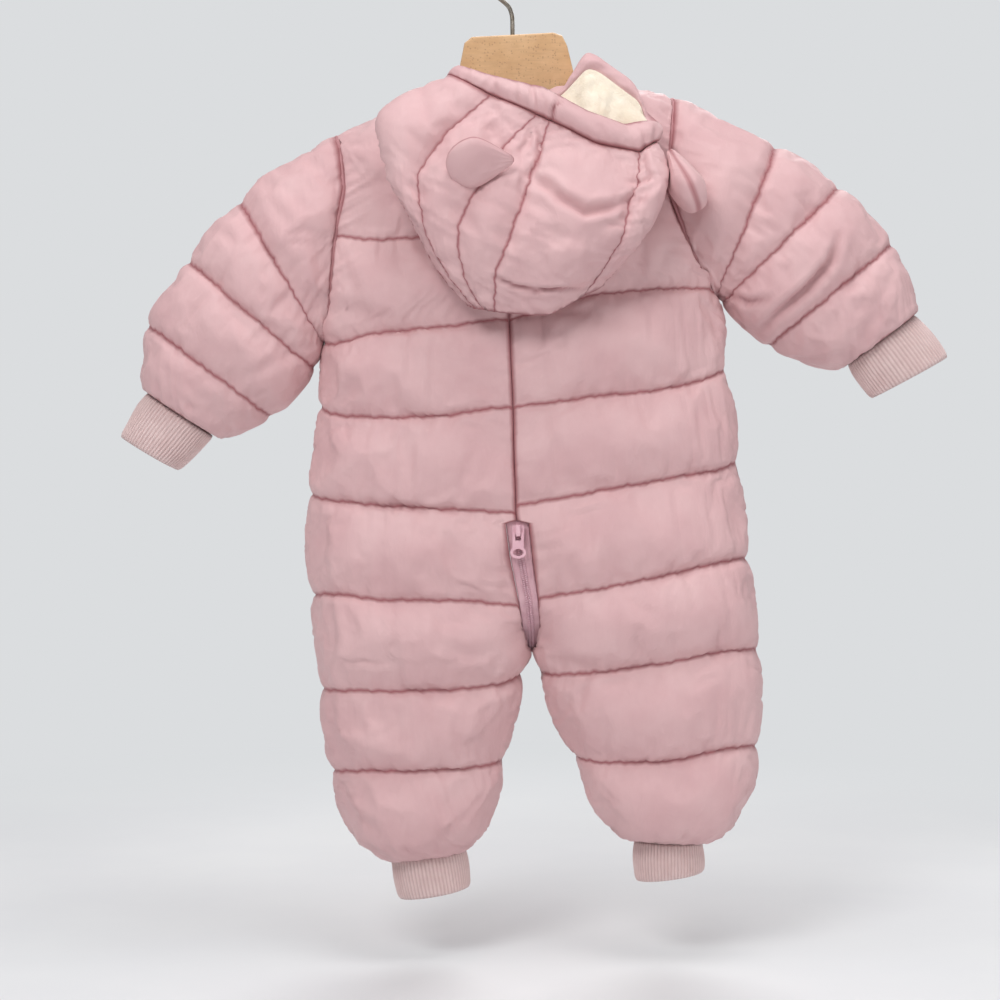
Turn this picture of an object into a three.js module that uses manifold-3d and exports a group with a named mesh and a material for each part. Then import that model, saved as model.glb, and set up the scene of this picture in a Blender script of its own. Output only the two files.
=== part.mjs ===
// A baby's padded snowsuit with a hood and two ears, hanging on a wooden hanger and seen from its back.
// Millimetres. x runs to the wearer's right, y towards the suit's front, z up.
// The origin is inside the top of the hanger's hook.

import * as THREE from 'three';
import { mergeVertices } from 'three/addons/utils/BufferGeometryUtils.js';
import Module from 'manifold-3d';

const wasm = await Module();
wasm.setup();

// Sizes that the whole suit shares
const SEAM_GAP = 0.3;          // between two pieces at a seam
const WALL = 3;                // padded cloth where a seam holds it flat
const PUFF = 11;               // highest a channel stands above its seams
const PUFF_SHARE = 0.19;       // a narrow channel stands this share of its width
const PUFF_EDGE = 0.28;        // share of the puff that is left at a piece's own edge
const FLATNESS = 0.7;          // 1 is a round body, less is a flatter one
const PANEL_COLUMNS = 8;       // across one panel

// Centre line of the body: the back seam, then the zip, down to the crotch. The front mirrors it in y.
const SPINE = [
  { z: -100, x: -4.0, y: -22 },
  { z: -122, x: -4.0, y: -25 },
  { z: -225, x: -3.4, y: -36 },
  { z: -294, x: -2.7, y: -40 },
  { z: -362, x: 0.4, y: -42 },
  { z: -444, x: 2.7, y: -45 },
  { z: -479, x: 6.8, y: -46 },
  { z: -513, x: 12.6, y: -42 },
  { z: -530, x: 14.6, y: -33 },
  { z: -543, x: 15.4, y: -20 },
  { z: -551, x: 15.5, y: -8 },
  { z: -553, x: 15.5, y: 0 },
];
const CROTCH_Z = -553;
const ZIP_TOP_Z = -451;        // the upper end of the zip on the back
const ZIP_HALF_WIDTH = 9;      // half the width of tape that shows between the panels
const ZIP_HALF_AT_CROTCH = 7;

// Armholes: a tall narrow oval on each side
const ARMHOLE = {
  left: { top: -147, bottom: -310, depth: 31 },
  right: { top: -117, bottom: -272, depth: 31 },
};

// Rows of the panels, from the shoulder to the trouser hem. z: height at five places from the side
// to the middle. side: x at the side. leg: x at the inner leg, below the crotch. depth: how far the
// panel stands off the suit's middle plane. neck: share of the row that is shoulder seam.
// seam: 1 on a quilting seam. steps: rows of points down to the next row.
const ROWS = {
  left: [
    { z: [-147, -140, -129, -112, -122], side: -139, depth: 25, neck: 0.7, seam: 1, steps: 1 },
    { z: [-158, -153, -143, -130, -134], side: -135, depth: 26, seam: 0, steps: 2 },
    { z: [-190, -188, -182, -172, -170], side: -131, depth: 31, seam: 0, steps: 2 },
    { z: [-228, -231, -230, -228, -225], side: -138, depth: 36, seam: 1, steps: 2 },
    { z: [-272, -271, -267, -264, -260], side: -142, depth: 39, seam: 0, steps: 2 },
    { z: [-310, -311, -304, -300, -294], side: -146.5, depth: 40, seam: 1, steps: 4 },
    { z: [-360, -367, -370, -369, -362], side: -149, depth: 42, seam: 1, steps: 4 },
    { z: [-430, -434, -438, -441, -444], side: -156, depth: 45, seam: 1, steps: 1 },
    { z: [-437, -441, -445, -448, -450.4], side: -156.5, depth: 45, seam: 0, steps: 1 },
    { z: [-440, -444, -448, -451, -453], side: -156.6, depth: 45, seam: 0, steps: 3 },
    { z: [-510, -508, -512, -512, -516], side: -154, depth: 47, seam: 1, steps: 1 },
    { z: [-530, -531, -533, -532, -532], side: -152, depth: 47, seam: 0, steps: 1 },
    { z: [-549, -550, -551, -548, -546], side: -149, depth: 46, seam: 0, steps: 1 },
    { z: [-562, -562, -562, -558, -553], side: -148, leg: 8.5, depth: 45, seam: 0, steps: 1 },
    { z: [-584, -583, -582, -579, -571], side: -146.6, leg: 3.4, depth: 42, seam: 1, steps: 4 },
    { z: [-649, -646, -645, -643, -641], side: -138.6, leg: -11, depth: 37, seam: 1, steps: 3 },
    { z: [-692, -694, -695, -694, -692], side: -124, leg: -25, depth: 31, seam: 0, steps: 2 },
    { z: [-718, -719, -716, -714, -711], side: -98, leg: -38, depth: 20, seam: 1, steps: 1 },
  ],
  right: [
    { z: [-117, -112, -108, -106, -122], side: 127, depth: 25, neck: 0.7, seam: 1, steps: 1 },
    { z: [-128, -126, -123, -124, -134], side: 126, depth: 26, seam: 0, steps: 2 },
    { z: [-158, -160, -164, -168, -170], side: 123, depth: 31, seam: 0, steps: 2 },
    { z: [-192, -200, -210, -219, -225], side: 122, depth: 36, seam: 1, steps: 2 },
    { z: [-236, -237, -243, -250, -260], side: 139, depth: 39, seam: 0, steps: 2 },
    { z: [-272, -268, -270, -276, -294], side: 160, depth: 40, seam: 1, steps: 4 },
    { z: [-330, -338, -348, -354, -362], side: 166, depth: 42, seam: 1, steps: 4 },
    { z: [-403, -410, -417, -427, -438], side: 175.5, depth: 45, seam: 1, steps: 1 },
    { z: [-412, -420, -428, -438, -450.4], side: 176, depth: 45, seam: 0, steps: 1 },
    { z: [-415, -423, -431, -441, -453], side: 176.3, depth: 45, seam: 0, steps: 3 },
    { z: [-481, -482, -491, -502, -510], side: 182.5, depth: 47, seam: 1, steps: 1 },
    { z: [-502, -505, -512, -520, -530], side: 184.5, depth: 47, seam: 0, steps: 1 },
    { z: [-522, -526, -533, -540, -546], side: 187, depth: 46, seam: 0, steps: 1 },
    { z: [-537, -540, -546, -552, -553], side: 189, leg: 22.5, depth: 45, seam: 0, steps: 1 },
    { z: [-553, -552, -562, -570, -571], side: 191.5, leg: 26, depth: 42, seam: 1, steps: 4 },
    { z: [-630, -628, -637, -639, -637], side: 190.5, leg: 54, depth: 37, seam: 1, steps: 3 },
    { z: [-680, -683, -686, -686, -684], side: 177, leg: 76, depth: 31, seam: 0, steps: 2 },
    { z: [-707, -706, -704, -703, -705], side: 153, leg: 98, depth: 20, seam: 1, steps: 1 },
  ],
};
// The front's neck is cut lower than the back's: extra drop of its first rows at the same five places
const FRONT_NECK_DROP = [
  [0, 0, 0, 0, -30],
  [0, 0, 0, -2, -28],
  [0, 0, 0, 0, -10],
];

// Colour, roughness and metalness of each material
const MATERIALS = {
  padded: { color: 0xd8b0b2, roughness: 0.62, metalness: 0 },
  rib: { color: 0xcdaaa6, roughness: 0.9, metalness: 0 },
  fleece: { color: 0xf5ead9, roughness: 0.95, metalness: 0 },
  zip: { color: 0xe2bac4, roughness: 0.6, metalness: 0 },
  pull: { color: 0xe0b6c0, roughness: 0.4, metalness: 0.1 },
  wood: { color: 0xd5b18d, roughness: 0.55, metalness: 0 },
  wire: { color: 0x8e8377, roughness: 0.3, metalness: 1 },
};

const UP = new THREE.Vector3(0, 0, 1);
const SIDEWAYS = new THREE.Vector3(1, 0, 0);
const suit = new THREE.Group();

function add(name, geometry, material) {
  const mesh = new THREE.Mesh(geometry, new THREE.MeshStandardMaterial(MATERIALS[material]));
  mesh.name = name;
  suit.add(mesh);
  return mesh;
}

// Height of a smooth curve through equally spaced values, t from 0 to 1
function along(values, t) {
  const last = values.length - 1;
  const i = Math.min(Math.floor(t * last), last - 1);
  const f = t * last - i;
  const before = values[Math.max(i - 1, 0)];
  const after = values[Math.min(i + 2, last)];
  const slopeIn = (values[i + 1] - before) / 2;
  const slopeOut = (after - values[i]) / 2;
  const rise = values[i + 1] - values[i];
  const square = 3 * rise - 2 * slopeIn - slopeOut;
  const cube = slopeIn + slopeOut - 2 * rise;
  return values[i] + f * (slopeIn + f * (square + f * cube));
}

// Straight-line value of a column of a table at a given height z; the table runs downwards
function atHeight(table, z, column) {
  if (z >= table[0].z) {
    return table[0][column];
  }
  for (let i = 1; i < table.length; i += 1) {
    if (z >= table[i].z) {
      const f = (table[i - 1].z - z) / (table[i - 1].z - table[i].z);
      return THREE.MathUtils.lerp(table[i - 1][column], table[i][column], f);
    }
  }
  return table[table.length - 1][column];
}

// Closed wall between an outer and an inner grid of points, [row][column].
// round: the last column joins the first. capped: the last row is closed to its own middle.
// The faces are turned outwards at the end, so a grid may run either way.
function wallGeometry(outer, inner, { round = false, capped = false } = {}) {
  const rows = outer.length;
  const columns = outer[0].length;
  const points = [...outer.flat(), ...inner.flat()];
  const out = (i, j) => i * columns + (j % columns);
  const into = (i, j) => rows * columns + out(i, j);
  const faces = [];
  const quad = (a, b, c, d) => faces.push(a, b, c, a, c, d);
  const spans = round ? columns : columns - 1;
  for (let i = 0; i < rows - 1; i += 1) {
    for (let j = 0; j < spans; j += 1) {
      quad(out(i, j), out(i + 1, j), out(i + 1, j + 1), out(i, j + 1));
      quad(into(i, j), into(i, j + 1), into(i + 1, j + 1), into(i + 1, j));
    }
    if (!round) {
      quad(out(i, 0), into(i, 0), into(i + 1, 0), out(i + 1, 0));
      quad(out(i, spans), out(i + 1, spans), into(i + 1, spans), into(i, spans));
    }
  }
  for (let j = 0; j < spans; j += 1) {
    quad(out(0, j), out(0, j + 1), into(0, j + 1), into(0, j));
    if (!capped) {
      quad(out(rows - 1, j), into(rows - 1, j), into(rows - 1, j + 1), out(rows - 1, j + 1));
    }
  }
  if (capped) {
    for (const [grid, index, flip] of [[outer, out, false], [inner, into, true]]) {
      const hub = points.length;
      const ring = grid[rows - 1];
      points.push(ring.reduce((sum, p) => sum.add(p), new THREE.Vector3()).divideScalar(columns));
      for (let j = 0; j < columns; j += 1) {
        const pair = [index(rows - 1, j), index(rows - 1, j + 1)];
        faces.push(hub, ...(flip ? pair : pair.reverse()));
      }
    }
  }
  const geometry = new THREE.BufferGeometry();
  geometry.setAttribute('position', new THREE.Float32BufferAttribute(points.flatMap((p) => p.toArray()), 3));
  geometry.setIndex(faces);
  if (signedVolume(points, faces) < 0) {
    for (let k = 0; k < faces.length; k += 3) {
      [faces[k + 1], faces[k + 2]] = [faces[k + 2], faces[k + 1]];
    }
    geometry.setIndex(faces);
  }
  geometry.computeVertexNormals();
  return geometry;
}

function signedVolume(points, faces) {
  let total = 0;
  const cross = new THREE.Vector3();
  for (let k = 0; k < faces.length; k += 3) {
    cross.crossVectors(points[faces[k + 1]], points[faces[k + 2]]);
    total += points[faces[k]].dot(cross) / 6;
  }
  return total;
}

// Unit normal at each point of a grid. On a round grid they point away from its middle;
// on an open one, side turns them to the face that is wanted.
function gridNormals(grid, round, side = 1) {
  const rows = grid.length;
  const columns = grid[0].length;
  const normals = grid.map((row, i) => row.map((point, j) => {
    const above = grid[Math.max(i - 1, 0)][j];
    const below = grid[Math.min(i + 1, rows - 1)][j];
    const before = row[round ? (j + columns - 1) % columns : Math.max(j - 1, 0)];
    const after = row[round ? (j + 1) % columns : Math.min(j + 1, columns - 1)];
    const down = below.clone().sub(above);
    const across = after.clone().sub(before);
    return across.cross(down).normalize().multiplyScalar(side);
  }));
  if (round && outwardness(grid, normals) < 0) {
    normals.flat().forEach((normal) => normal.negate());
  }
  return normals;
}

// Above zero where the normals of a round grid point away from the middle of their rows
function outwardness(grid, normals) {
  let total = 0;
  grid.forEach((row, i) => {
    const middle = row.reduce((sum, p) => sum.add(p), new THREE.Vector3()).divideScalar(row.length);
    row.forEach((point, j) => {
      total += normals[i][j].dot(point.clone().sub(middle));
    });
  });
  return total;
}

// How far along its channel a point lies, and the channel's width, for a line of points and its seams
function channelPlaces(line, seams) {
  const travelled = [0];
  for (let k = 1; k < line.length; k += 1) {
    travelled.push(travelled[k - 1] + line[k].distanceTo(line[k - 1]));
  }
  return line.map((point, k) => {
    let first = k;
    while (first > 0 && !(seams[first] && first < k)) {
      first -= 1;
    }
    let last = k;
    while (last < line.length - 1 && !(seams[last] && last >= k && last > first)) {
      last += 1;
    }
    const width = travelled[last] - travelled[first];
    return { t: width > 0 ? (travelled[k] - travelled[first]) / width : 0, width };
  });
}

// Same shape with its shared corners made one
function welded(geometry) {
  const bare = geometry.clone();
  bare.deleteAttribute('normal');
  bare.deleteAttribute('uv');
  return mergeVertices(bare.index ? bare.toNonIndexed() : bare, 1e-4);
}

// Same shape with its faces pointing out
function facedOut(geometry) {
  const points = [];
  const position = geometry.attributes.position;
  for (let k = 0; k < position.count; k += 1) {
    points.push(new THREE.Vector3().fromBufferAttribute(position, k));
  }
  const faces = Array.from(geometry.index.array);
  if (signedVolume(points, faces) < 0) {
    geometry.setIndex(faces.reverse());
  }
  geometry.computeVertexNormals();
  return geometry;
}

// Two overlapping solids as one
function joined(a, b) {
  const [first, second] = [a, b].map((geometry) => {
    const mesh = facedOut(welded(geometry));
    return new wasm.Manifold(new wasm.Mesh({
      numProp: 3,
      vertProperties: Float32Array.from(mesh.attributes.position.array),
      triVerts: Uint32Array.from(mesh.index.array),
    }));
  });
  const mesh = first.add(second).getMesh();
  const geometry = new THREE.BufferGeometry();
  geometry.setAttribute('position', new THREE.BufferAttribute(mesh.vertProperties, 3));
  geometry.setIndex(Array.from(mesh.triVerts));
  geometry.computeVertexNormals();
  return geometry;
}

const pillow = (t, floor) => floor + (1 - floor) * Math.pow(Math.max(Math.sin(Math.PI * t), 0), 0.55);

// Padded wall on a base grid: plain inside, channels raised between the seams on the outside.
// flatTo gives the planes that a piece's edge is kept in, by their normals, so that edges meet flat,
// and settle moves a finished outer point of row i onto the line where its neighbour ends.
function paddedWall(base, options) {
  const { rowSeams, columnSeams, rowFloor = 0, columnFloor = 0, round = false, capped = false } = options;
  const { side = 1, puff = PUFF, wall = WALL, flatTo = () => [], settle = (p) => p } = options;
  const normals = options.normals || gridNormals(base, round, side);
  normals.forEach((row, i) => row.forEach((normal, j) => {
    for (const plane of flatTo(i, j)) {
      normal.projectOnPlane(plane).normalize();
    }
  }));
  const columns = base[0].length;
  const downwards = [];
  for (let j = 0; j < columns; j += 1) {
    downwards.push(channelPlaces(base.map((row) => row[j]), rowSeams));
  }
  const outer = base.map((row, i) => {
    const line = round ? [...row, row[0]] : row;
    const sideways = channelPlaces(line, columnSeams);
    return row.map((point, j) => {
      const down = downwards[j][i];
      const across = sideways[j];
      const limit = Math.min(puff, PUFF_SHARE * down.width, PUFF_SHARE * across.width);
      const rise = limit * pillow(down.t, rowFloor) * pillow(across.t, columnFloor);
      return settle(point.clone().addScaledVector(normals[i][j], wall + rise), i);
    });
  });
  return wallGeometry(outer, base, { round, capped });
}

// Body panels
function armholeY(name, z) {
  const { top, bottom, depth } = ARMHOLE[name];
  const reach = (z - (top + bottom) / 2) / ((top - bottom) / 2);
  return Math.abs(reach) < 1 ? depth * Math.sqrt(1 - reach * reach) : 0;
}

// Angle round a flattened body at which it stands y off the middle plane, 0 to 90 degrees
function angleAt(y, depth) {
  return Math.asin(Math.min(Math.pow(y / depth, 1 / FLATNESS), 1));
}

function zipHalfWidth(z, face) {
  if (face < 0 && z > ZIP_TOP_Z) {
    return SEAM_GAP / 2;
  }
  const f = THREE.MathUtils.smoothstep(-z, -ZIP_TOP_Z, -CROTCH_Z);
  return THREE.MathUtils.lerp(ZIP_HALF_WIDTH, ZIP_HALF_AT_CROTCH, f);
}

// One row of a panel: points from the side to the middle or inner leg. face: -1 back, 1 front.
function panelRow(row, name, face, drop) {
  const out = name === 'left' ? -1 : 1;
  const heights = row.z.map((z, k) => z + (face > 0 && drop ? drop[k] : 0));
  const innerZ = heights[heights.length - 1];
  const inLeg = row.leg !== undefined;
  const inner = inLeg ? row.leg : atHeight(SPINE, innerZ, 'x') + out * zipHalfWidth(innerZ, face);
  const spineY = -atHeight(SPINE, innerZ, 'y');
  const start = angleAt(armholeY(name, heights[0]), row.depth);
  const bend = inLeg ? 0 : angleAt(spineY, row.depth);
  const end = innerZ < -500 || inLeg ? Math.PI - bend : Math.PI / 2;
  const radius = (inner - row.side) / (Math.cos(start) - Math.cos(end));
  const centre = row.side + radius * Math.cos(start);
  const points = [];
  for (let j = 0; j <= PANEL_COLUMNS; j += 1) {
    const u = j / PANEL_COLUMNS;
    const angle = THREE.MathUtils.lerp(start, end, u);
    const neckAngle = row.neck ? Math.max((u - row.neck) / (1 - row.neck), 0) * Math.PI / 2 : angle;
    const y = row.depth * Math.pow(Math.max(Math.sin(neckAngle), 0), FLATNESS);
    const x = centre - radius * Math.cos(angle);
    points.push(new THREE.Vector3(x, face * Math.max(y, SEAM_GAP / 2), along(heights, u)));
  }
  return points;
}

// All rows of points of one panel, with the flag of each: 1 on a seam
function panelGrid(name, face) {
  const table = ROWS[name];
  const controls = table.map((row, i) => panelRow(row, name, face, FRONT_NECK_DROP[i]));
  const grid = [];
  const seams = [];
  for (let i = 0; i < table.length - 1; i += 1) {
    for (let k = 0; k < table[i].steps; k += 1) {
      const f = k / table[i].steps;
      grid.push(controls[i].map((point, j) => point.clone().lerp(controls[i + 1][j], f)));
      seams.push(k === 0 ? table[i].seam : 0);
    }
  }
  grid.push(controls[controls.length - 1]);
  seams.push(1);
  const out = name === 'left' ? -1 : 1;
  for (const row of grid) {
    row[0].y = face * Math.max(armholeY(name, row[0].z), SEAM_GAP / 2);
    const middle = row[row.length - 1];
    if (middle.z > CROTCH_Z) {
      middle.x = atHeight(SPINE, middle.z, 'x') + out * zipHalfWidth(middle.z, face);
      middle.y = -face * atHeight(SPINE, middle.z, 'y');
    }
  }
  return { grid, seams };
}

for (const name of ['left', 'right']) {
  for (const [label, face] of [['back', -1], ['front', 1]]) {
    const { grid, seams } = panelGrid(name, face);
    const edges = grid[0].map((point, j) => (j === 0 || j === PANEL_COLUMNS ? 1 : 0));
    const side = (name === 'left' ? 1 : -1) * face;
    const geometry = paddedWall(grid, {
      rowSeams: seams, columnSeams: edges, columnFloor: PUFF_EDGE, side,
      flatTo: (i, j) => {
        const atEnd = i === 0 || i === grid.length - 1;
        const atArmhole = j === 0 && grid[i][0].z >= ARMHOLE[name].bottom;
        const atMiddle = j === PANEL_COLUMNS && grid[i][j].z >= CROTCH_Z;
        return [...(atEnd || atArmhole ? [UP] : []), ...(atArmhole || atMiddle ? [SIDEWAYS] : [])];
      },
    });
    add(`${label}_${name}`, geometry, 'padded');
  }
}

// Sleeves: rings from the armhole to the hem, each from its top and bottom point as seen from behind.
// depth: half the ring's depth in y. seam: 1 on a quilting seam. steps: rows to the next ring.
const SLEEVE_COLUMNS = 20;
const ARMHOLE_GAP = 1.5;       // between a sleeve and the panels, whose slanting edges curve past it
const SLEEVES = {
  left: [
    { seam: 1, steps: 3 },
    { top: [-213.6, -200], bottom: [-152.5, -305], depth: 36, seam: 1, steps: 3 },
    { top: [-254, -247], bottom: [-162, -327], depth: 36, seam: 1, steps: 3 },
    { top: [-286, -296], bottom: [-196, -364], depth: 33, seam: 1, steps: 3 },
    { top: [-291, -348], bottom: [-237, -383], depth: 23, seam: 1, steps: 1 },
  ],
  right: [
    { seam: 1, steps: 3 },
    { top: [207, -157], bottom: [163, -268], depth: 36, seam: 1, steps: 3 },
    { top: [257, -189], bottom: [171, -273], depth: 36, seam: 1, steps: 3 },
    { top: [299, -233], bottom: [208, -307], depth: 33, seam: 1, steps: 3 },
    { top: [321, -286], bottom: [268, -325], depth: 23, seam: 1, steps: 1 },
  ],
};

function ringPoints({ top, bottom, depth }, columns) {
  const high = new THREE.Vector3(top[0], 0, top[1]);
  const low = new THREE.Vector3(bottom[0], 0, bottom[1]);
  const middle = high.clone().add(low).divideScalar(2);
  const half = high.clone().sub(middle);
  const points = [];
  for (let j = 0; j < columns; j += 1) {
    const angle = 2 * Math.PI * j / columns;
    const point = middle.clone().addScaledVector(half, Math.cos(angle));
    point.y = -depth * Math.sin(angle);
    points.push(point);
  }
  return points;
}

// Moves a point of a sleeve sideways to the armhole, just clear of the body panels
function toArmhole(name, point) {
  const sides = ROWS[name].map((row) => ({ z: row.z[0], x: row.side }));
  const out = name === 'left' ? -1 : 1;
  return point.setX(atHeight(sides, point.z, 'x') + out * ARMHOLE_GAP);
}

// The sleeve's first ring: the armhole, also clear of the side seam below it
function armholeRing(name) {
  const { top, depth } = ARMHOLE[name];
  const bottom = ARMHOLE[name].bottom + WALL + SEAM_GAP;
  const ring = ringPoints({ top: [0, top], bottom: [0, bottom], depth }, SLEEVE_COLUMNS);
  return ring.map((point) => toArmhole(name, point));
}

// Rows of points between rings, with the seam flag of each row
function fillRows(rings, table) {
  const grid = [];
  const seams = [];
  for (let i = 0; i < rings.length - 1; i += 1) {
    for (let k = 0; k < table[i].steps; k += 1) {
      grid.push(rings[i].map((point, j) => point.clone().lerp(rings[i + 1][j], k / table[i].steps)));
      seams.push(k === 0 ? table[i].seam : 0);
    }
  }
  grid.push(rings[rings.length - 1]);
  seams.push(1);
  return { grid, seams };
}

for (const name of ['left', 'right']) {
  const table = SLEEVES[name];
  const rings = table.map((row, i) => (i === 0 ? armholeRing(name) : ringPoints(row, SLEEVE_COLUMNS)));
  const { grid, seams } = fillRows(rings, table);
  const hem = table[table.length - 1];
  const hemNormal = new THREE.Vector3(hem.bottom[1] - hem.top[1], 0, hem.top[0] - hem.bottom[0]).normalize();
  const geometry = paddedWall(grid, {
    rowSeams: seams, columnSeams: [1], columnFloor: 1, round: true,
    flatTo: (i) => [...(i === 0 ? [SIDEWAYS] : []), ...(i === grid.length - 1 ? [hemNormal] : [])],
    settle: (point, i) => (i === 0 ? toArmhole(name, point) : point),
  });
  add(`sleeve_${name}`, geometry, 'padded');
}

// Rib-knit cuffs: rings at the root, the middle and the end, with raised ribs round the outside
const CUFF_WALL = 1.6;
const RIB_HEIGHT = 0.8;
const RIBS = 36;
const CUFFS = {
  wrist_cuff_left: [
    { top: [-289.6, -349.4], bottom: [-240.6, -382.4], depth: 21 },
    { top: [-311, -384.5], bottom: [-268, -410], depth: 21 },
  ],
  wrist_cuff_right: [
    { top: [320.2, -287.5], bottom: [270.2, -324.6], depth: 21 },
    { top: [346.5, -321], bottom: [289.5, -352], depth: 21 },
  ],
  ankle_cuff_left: [
    { top: [-95, -720], bottom: [-39, -713.5], depth: 20 },
    { top: [-88, -752], bottom: [-34.5, -743], depth: 20 },
  ],
  ankle_cuff_right: [
    { top: [150, -707.4], bottom: [100, -705.9], depth: 20 },
    { top: [150.5, -731], bottom: [100.5, -738], depth: 20 },
  ],
};

for (const [name, rings] of Object.entries(CUFFS)) {
  const base = rings.map((ring) => ringPoints(ring, 2 * RIBS));
  const normals = gridNormals(base, true);
  const outer = base.map((row, i) => row.map((point, j) => {
    const height = CUFF_WALL + (j % 2 ? RIB_HEIGHT : 0);
    return point.clone().addScaledVector(normals[i][j], height);
  }));
  add(name, wallGeometry(outer, base, { round: true }), 'rib');
}

// Hood: it hangs down the back with its mouth up. Each curve runs from the mouth to the bottom fold,
// as x and z at six places; reach is how far that curve stands from the hood's own middle plane,
// as a share: -1 nearest the viewer's side, 1 against the back. seam: 1 on a quilting seam.
// rim: x and z of the rim band's top edge above the curve. steps: columns to the next curve.
const HOOD = [
  { at: [[-51, -109], [-104, -146], [-94, -184], [-75, -222], [-56, -257], [-33, -284]],
    rim: [-41, -102], reach: 0, seam: 1, steps: 3 },
  { at: [[-17, -127], [-52, -161], [-72, -196], [-66, -230], [-50, -260], [-28, -287]],
    rim: [-20, -110], reach: -0.75, seam: 1, steps: 3 },
  { at: [[19, -143], [-7, -169], [-28, -203], [-42, -234], [-38, -261], [-22, -288]],
    rim: [14, -119], reach: -0.95, seam: 1, steps: 2 },
  { at: [[27, -147], [18, -176], [10, -204], [-3, -241], [-13, -266], [-15, -290]],
    rim: [22, -121], reach: -1, seam: 1, steps: 3 },
  { at: [[63, -166], [58, -198], [50, -221], [39, -248], [30, -271], [25, -291]],
    rim: [59, -141], reach: -1, seam: 0, steps: 3 },
  { at: [[97, -171], [95, -196], [88, -213], [84, -232], [73, -251], [54, -277]],
    rim: [84, -149], reach: -0.8, seam: 1, steps: 3 },
  { at: [[110, -160], [116, -181], [111, -205], [98, -229], [85, -248], [69, -268]],
    rim: [108, -144], reach: 0, seam: 1, steps: 2 },
  { at: [[98, -133], [104, -172], [98, -202], [86, -228], [72, -250], [56, -270]],
    rim: [95, -110], reach: 1, seam: 0, steps: 2 },
  { at: [[60, -106], [68, -150], [66, -190], [58, -226], [50, -253], [38, -277]],
    rim: [58, -84], reach: 0.95, seam: 1, steps: 2 },
  { at: [[36, -128], [38, -156], [34, -192], [28, -228], [22, -258], [17, -282]],
    rim: [37, -119], reach: 1, seam: 0, steps: 2 },
  { at: [[0, -130], [-8, -156], [-8, -192], [-10, -228], [-10, -260], [-8, -284]],
    rim: [0, -121], reach: 1, seam: 1, steps: 2 },
  { at: [[-34, -118], [-70, -152], [-62, -190], [-52, -226], [-40, -259], [-24, -284]],
    rim: [-32, -108], reach: 0.75, seam: 0, steps: 2 },
];
// The hood's middle plane, and how far it reaches to the viewer and to the back, at the same places
const HOOD_DEPTH = [
  { y: -52, near: 24, far: 8.5 },
  { y: -64, near: 19, far: 7 },
  { y: -69, near: 22, far: 7 },
  { y: -70, near: 24, far: 4 },
  { y: -69, near: 19, far: 4 },
  { y: -64, near: 8, far: 4 },
];
const HOOD_RIM_DEPTH = { y: -49, near: 24, far: 7.5 };
const HOOD_STEPS = 3;          // rows of points between two places
const HOOD_SEAM_GAP = 1.0;     // between the band and the shell, where their walls lean together
const HOOD_PUFF = 9;
const LINING_GAP = 1.0;        // the fleece lies this far inside the shell, clear of its folds
const LINING_WALL = 1.2;
const LINING_PLACES = 2;       // how many places down the fleece goes

function hoodPoint(spot, reach, { y, near, far }) {
  return new THREE.Vector3(spot[0], y + reach * (reach < 0 ? near : far), spot[1]);
}

// One ring of the hood at a place, with its columns filled in between the curves. Next to a side
// fold, where reach is 0, the layers part quickly, as on an oval.
function hoodRing(spots, depth) {
  const ring = [];
  HOOD.forEach((curve, c) => {
    const next = (c + 1) % HOOD.length;
    const from = hoodPoint(spots[c], curve.reach, depth);
    const to = hoodPoint(spots[next], HOOD[next].reach, depth);
    for (let k = 0; k < curve.steps; k += 1) {
      const f = k / curve.steps;
      const leaving = curve.reach === 0 ? Math.sqrt(1 - (1 - f) * (1 - f)) : f;
      const share = HOOD[next].reach === 0 ? 1 - Math.sqrt(1 - f * f) : leaving;
      const point = from.clone().lerp(to, f);
      point.y = THREE.MathUtils.lerp(from.y, to.y, share);
      ring.push(point);
    }
  });
  return ring;
}

const hoodSeams = HOOD.flatMap((curve) => [curve.seam, ...Array(curve.steps - 1).fill(0)]);
const hoodRings = HOOD_DEPTH.map((depth, p) => hoodRing(HOOD.map((curve) => curve.at[p]), depth));
const hoodSteps = HOOD_DEPTH.map((depth, p) => ({ steps: HOOD_STEPS, seam: p === 0 ? 1 : 0 }));
const hoodShell = fillRows(hoodRings, hoodSteps);

// Rim band: a padded casing on the mouth's edge
const rimRing = hoodRing(HOOD.map((curve) => curve.rim), HOOD_RIM_DEPTH);
const rimFoot = hoodRings[0].map((point, j) => {
  const rise = rimRing[j].clone().sub(point).setLength(HOOD_SEAM_GAP);
  return point.clone().add(rise);
});
const rim = fillRows([rimRing, rimFoot], [{ steps: 3, seam: 1 }]);

// The band's foot and the shell's mouth share their outward directions, so that the seam meets flat
const shellNormals = gridNormals(hoodShell.grid, true);
const rimNormals = gridNormals(rim.grid, true);
rimNormals[rimNormals.length - 1].forEach((normal, j) => {
  normal.add(shellNormals[0][j]).normalize();
  shellNormals[0][j].copy(normal);
});
add('hood_shell', paddedWall(hoodShell.grid, {
  rowSeams: hoodShell.seams, columnSeams: hoodSeams, rowFloor: 0.3, round: true, capped: true,
  normals: shellNormals, puff: HOOD_PUFF,
}), 'padded');
add('hood_rim', paddedWall(rim.grid, {
  rowSeams: rim.seams, columnSeams: [1], columnFloor: 1, rowFloor: 0.2, round: true, normals: rimNormals,
}), 'padded');

// Fleece lining: inside the band and the upper hood
const liningPath = [...rim.grid, ...hoodShell.grid.slice(1, LINING_PLACES * HOOD_STEPS + 1)];
const liningNormals = gridNormals(liningPath, true);
const liningWall = [LINING_GAP, LINING_GAP + LINING_WALL].map((inset) => (
  liningPath.map((row, i) => row.map((p, j) => p.clone().addScaledVector(liningNormals[i][j], -inset)))
));
add('hood_lining', wallGeometry(liningWall[0], liningWall[1], { round: true }), 'fleece');

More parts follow.
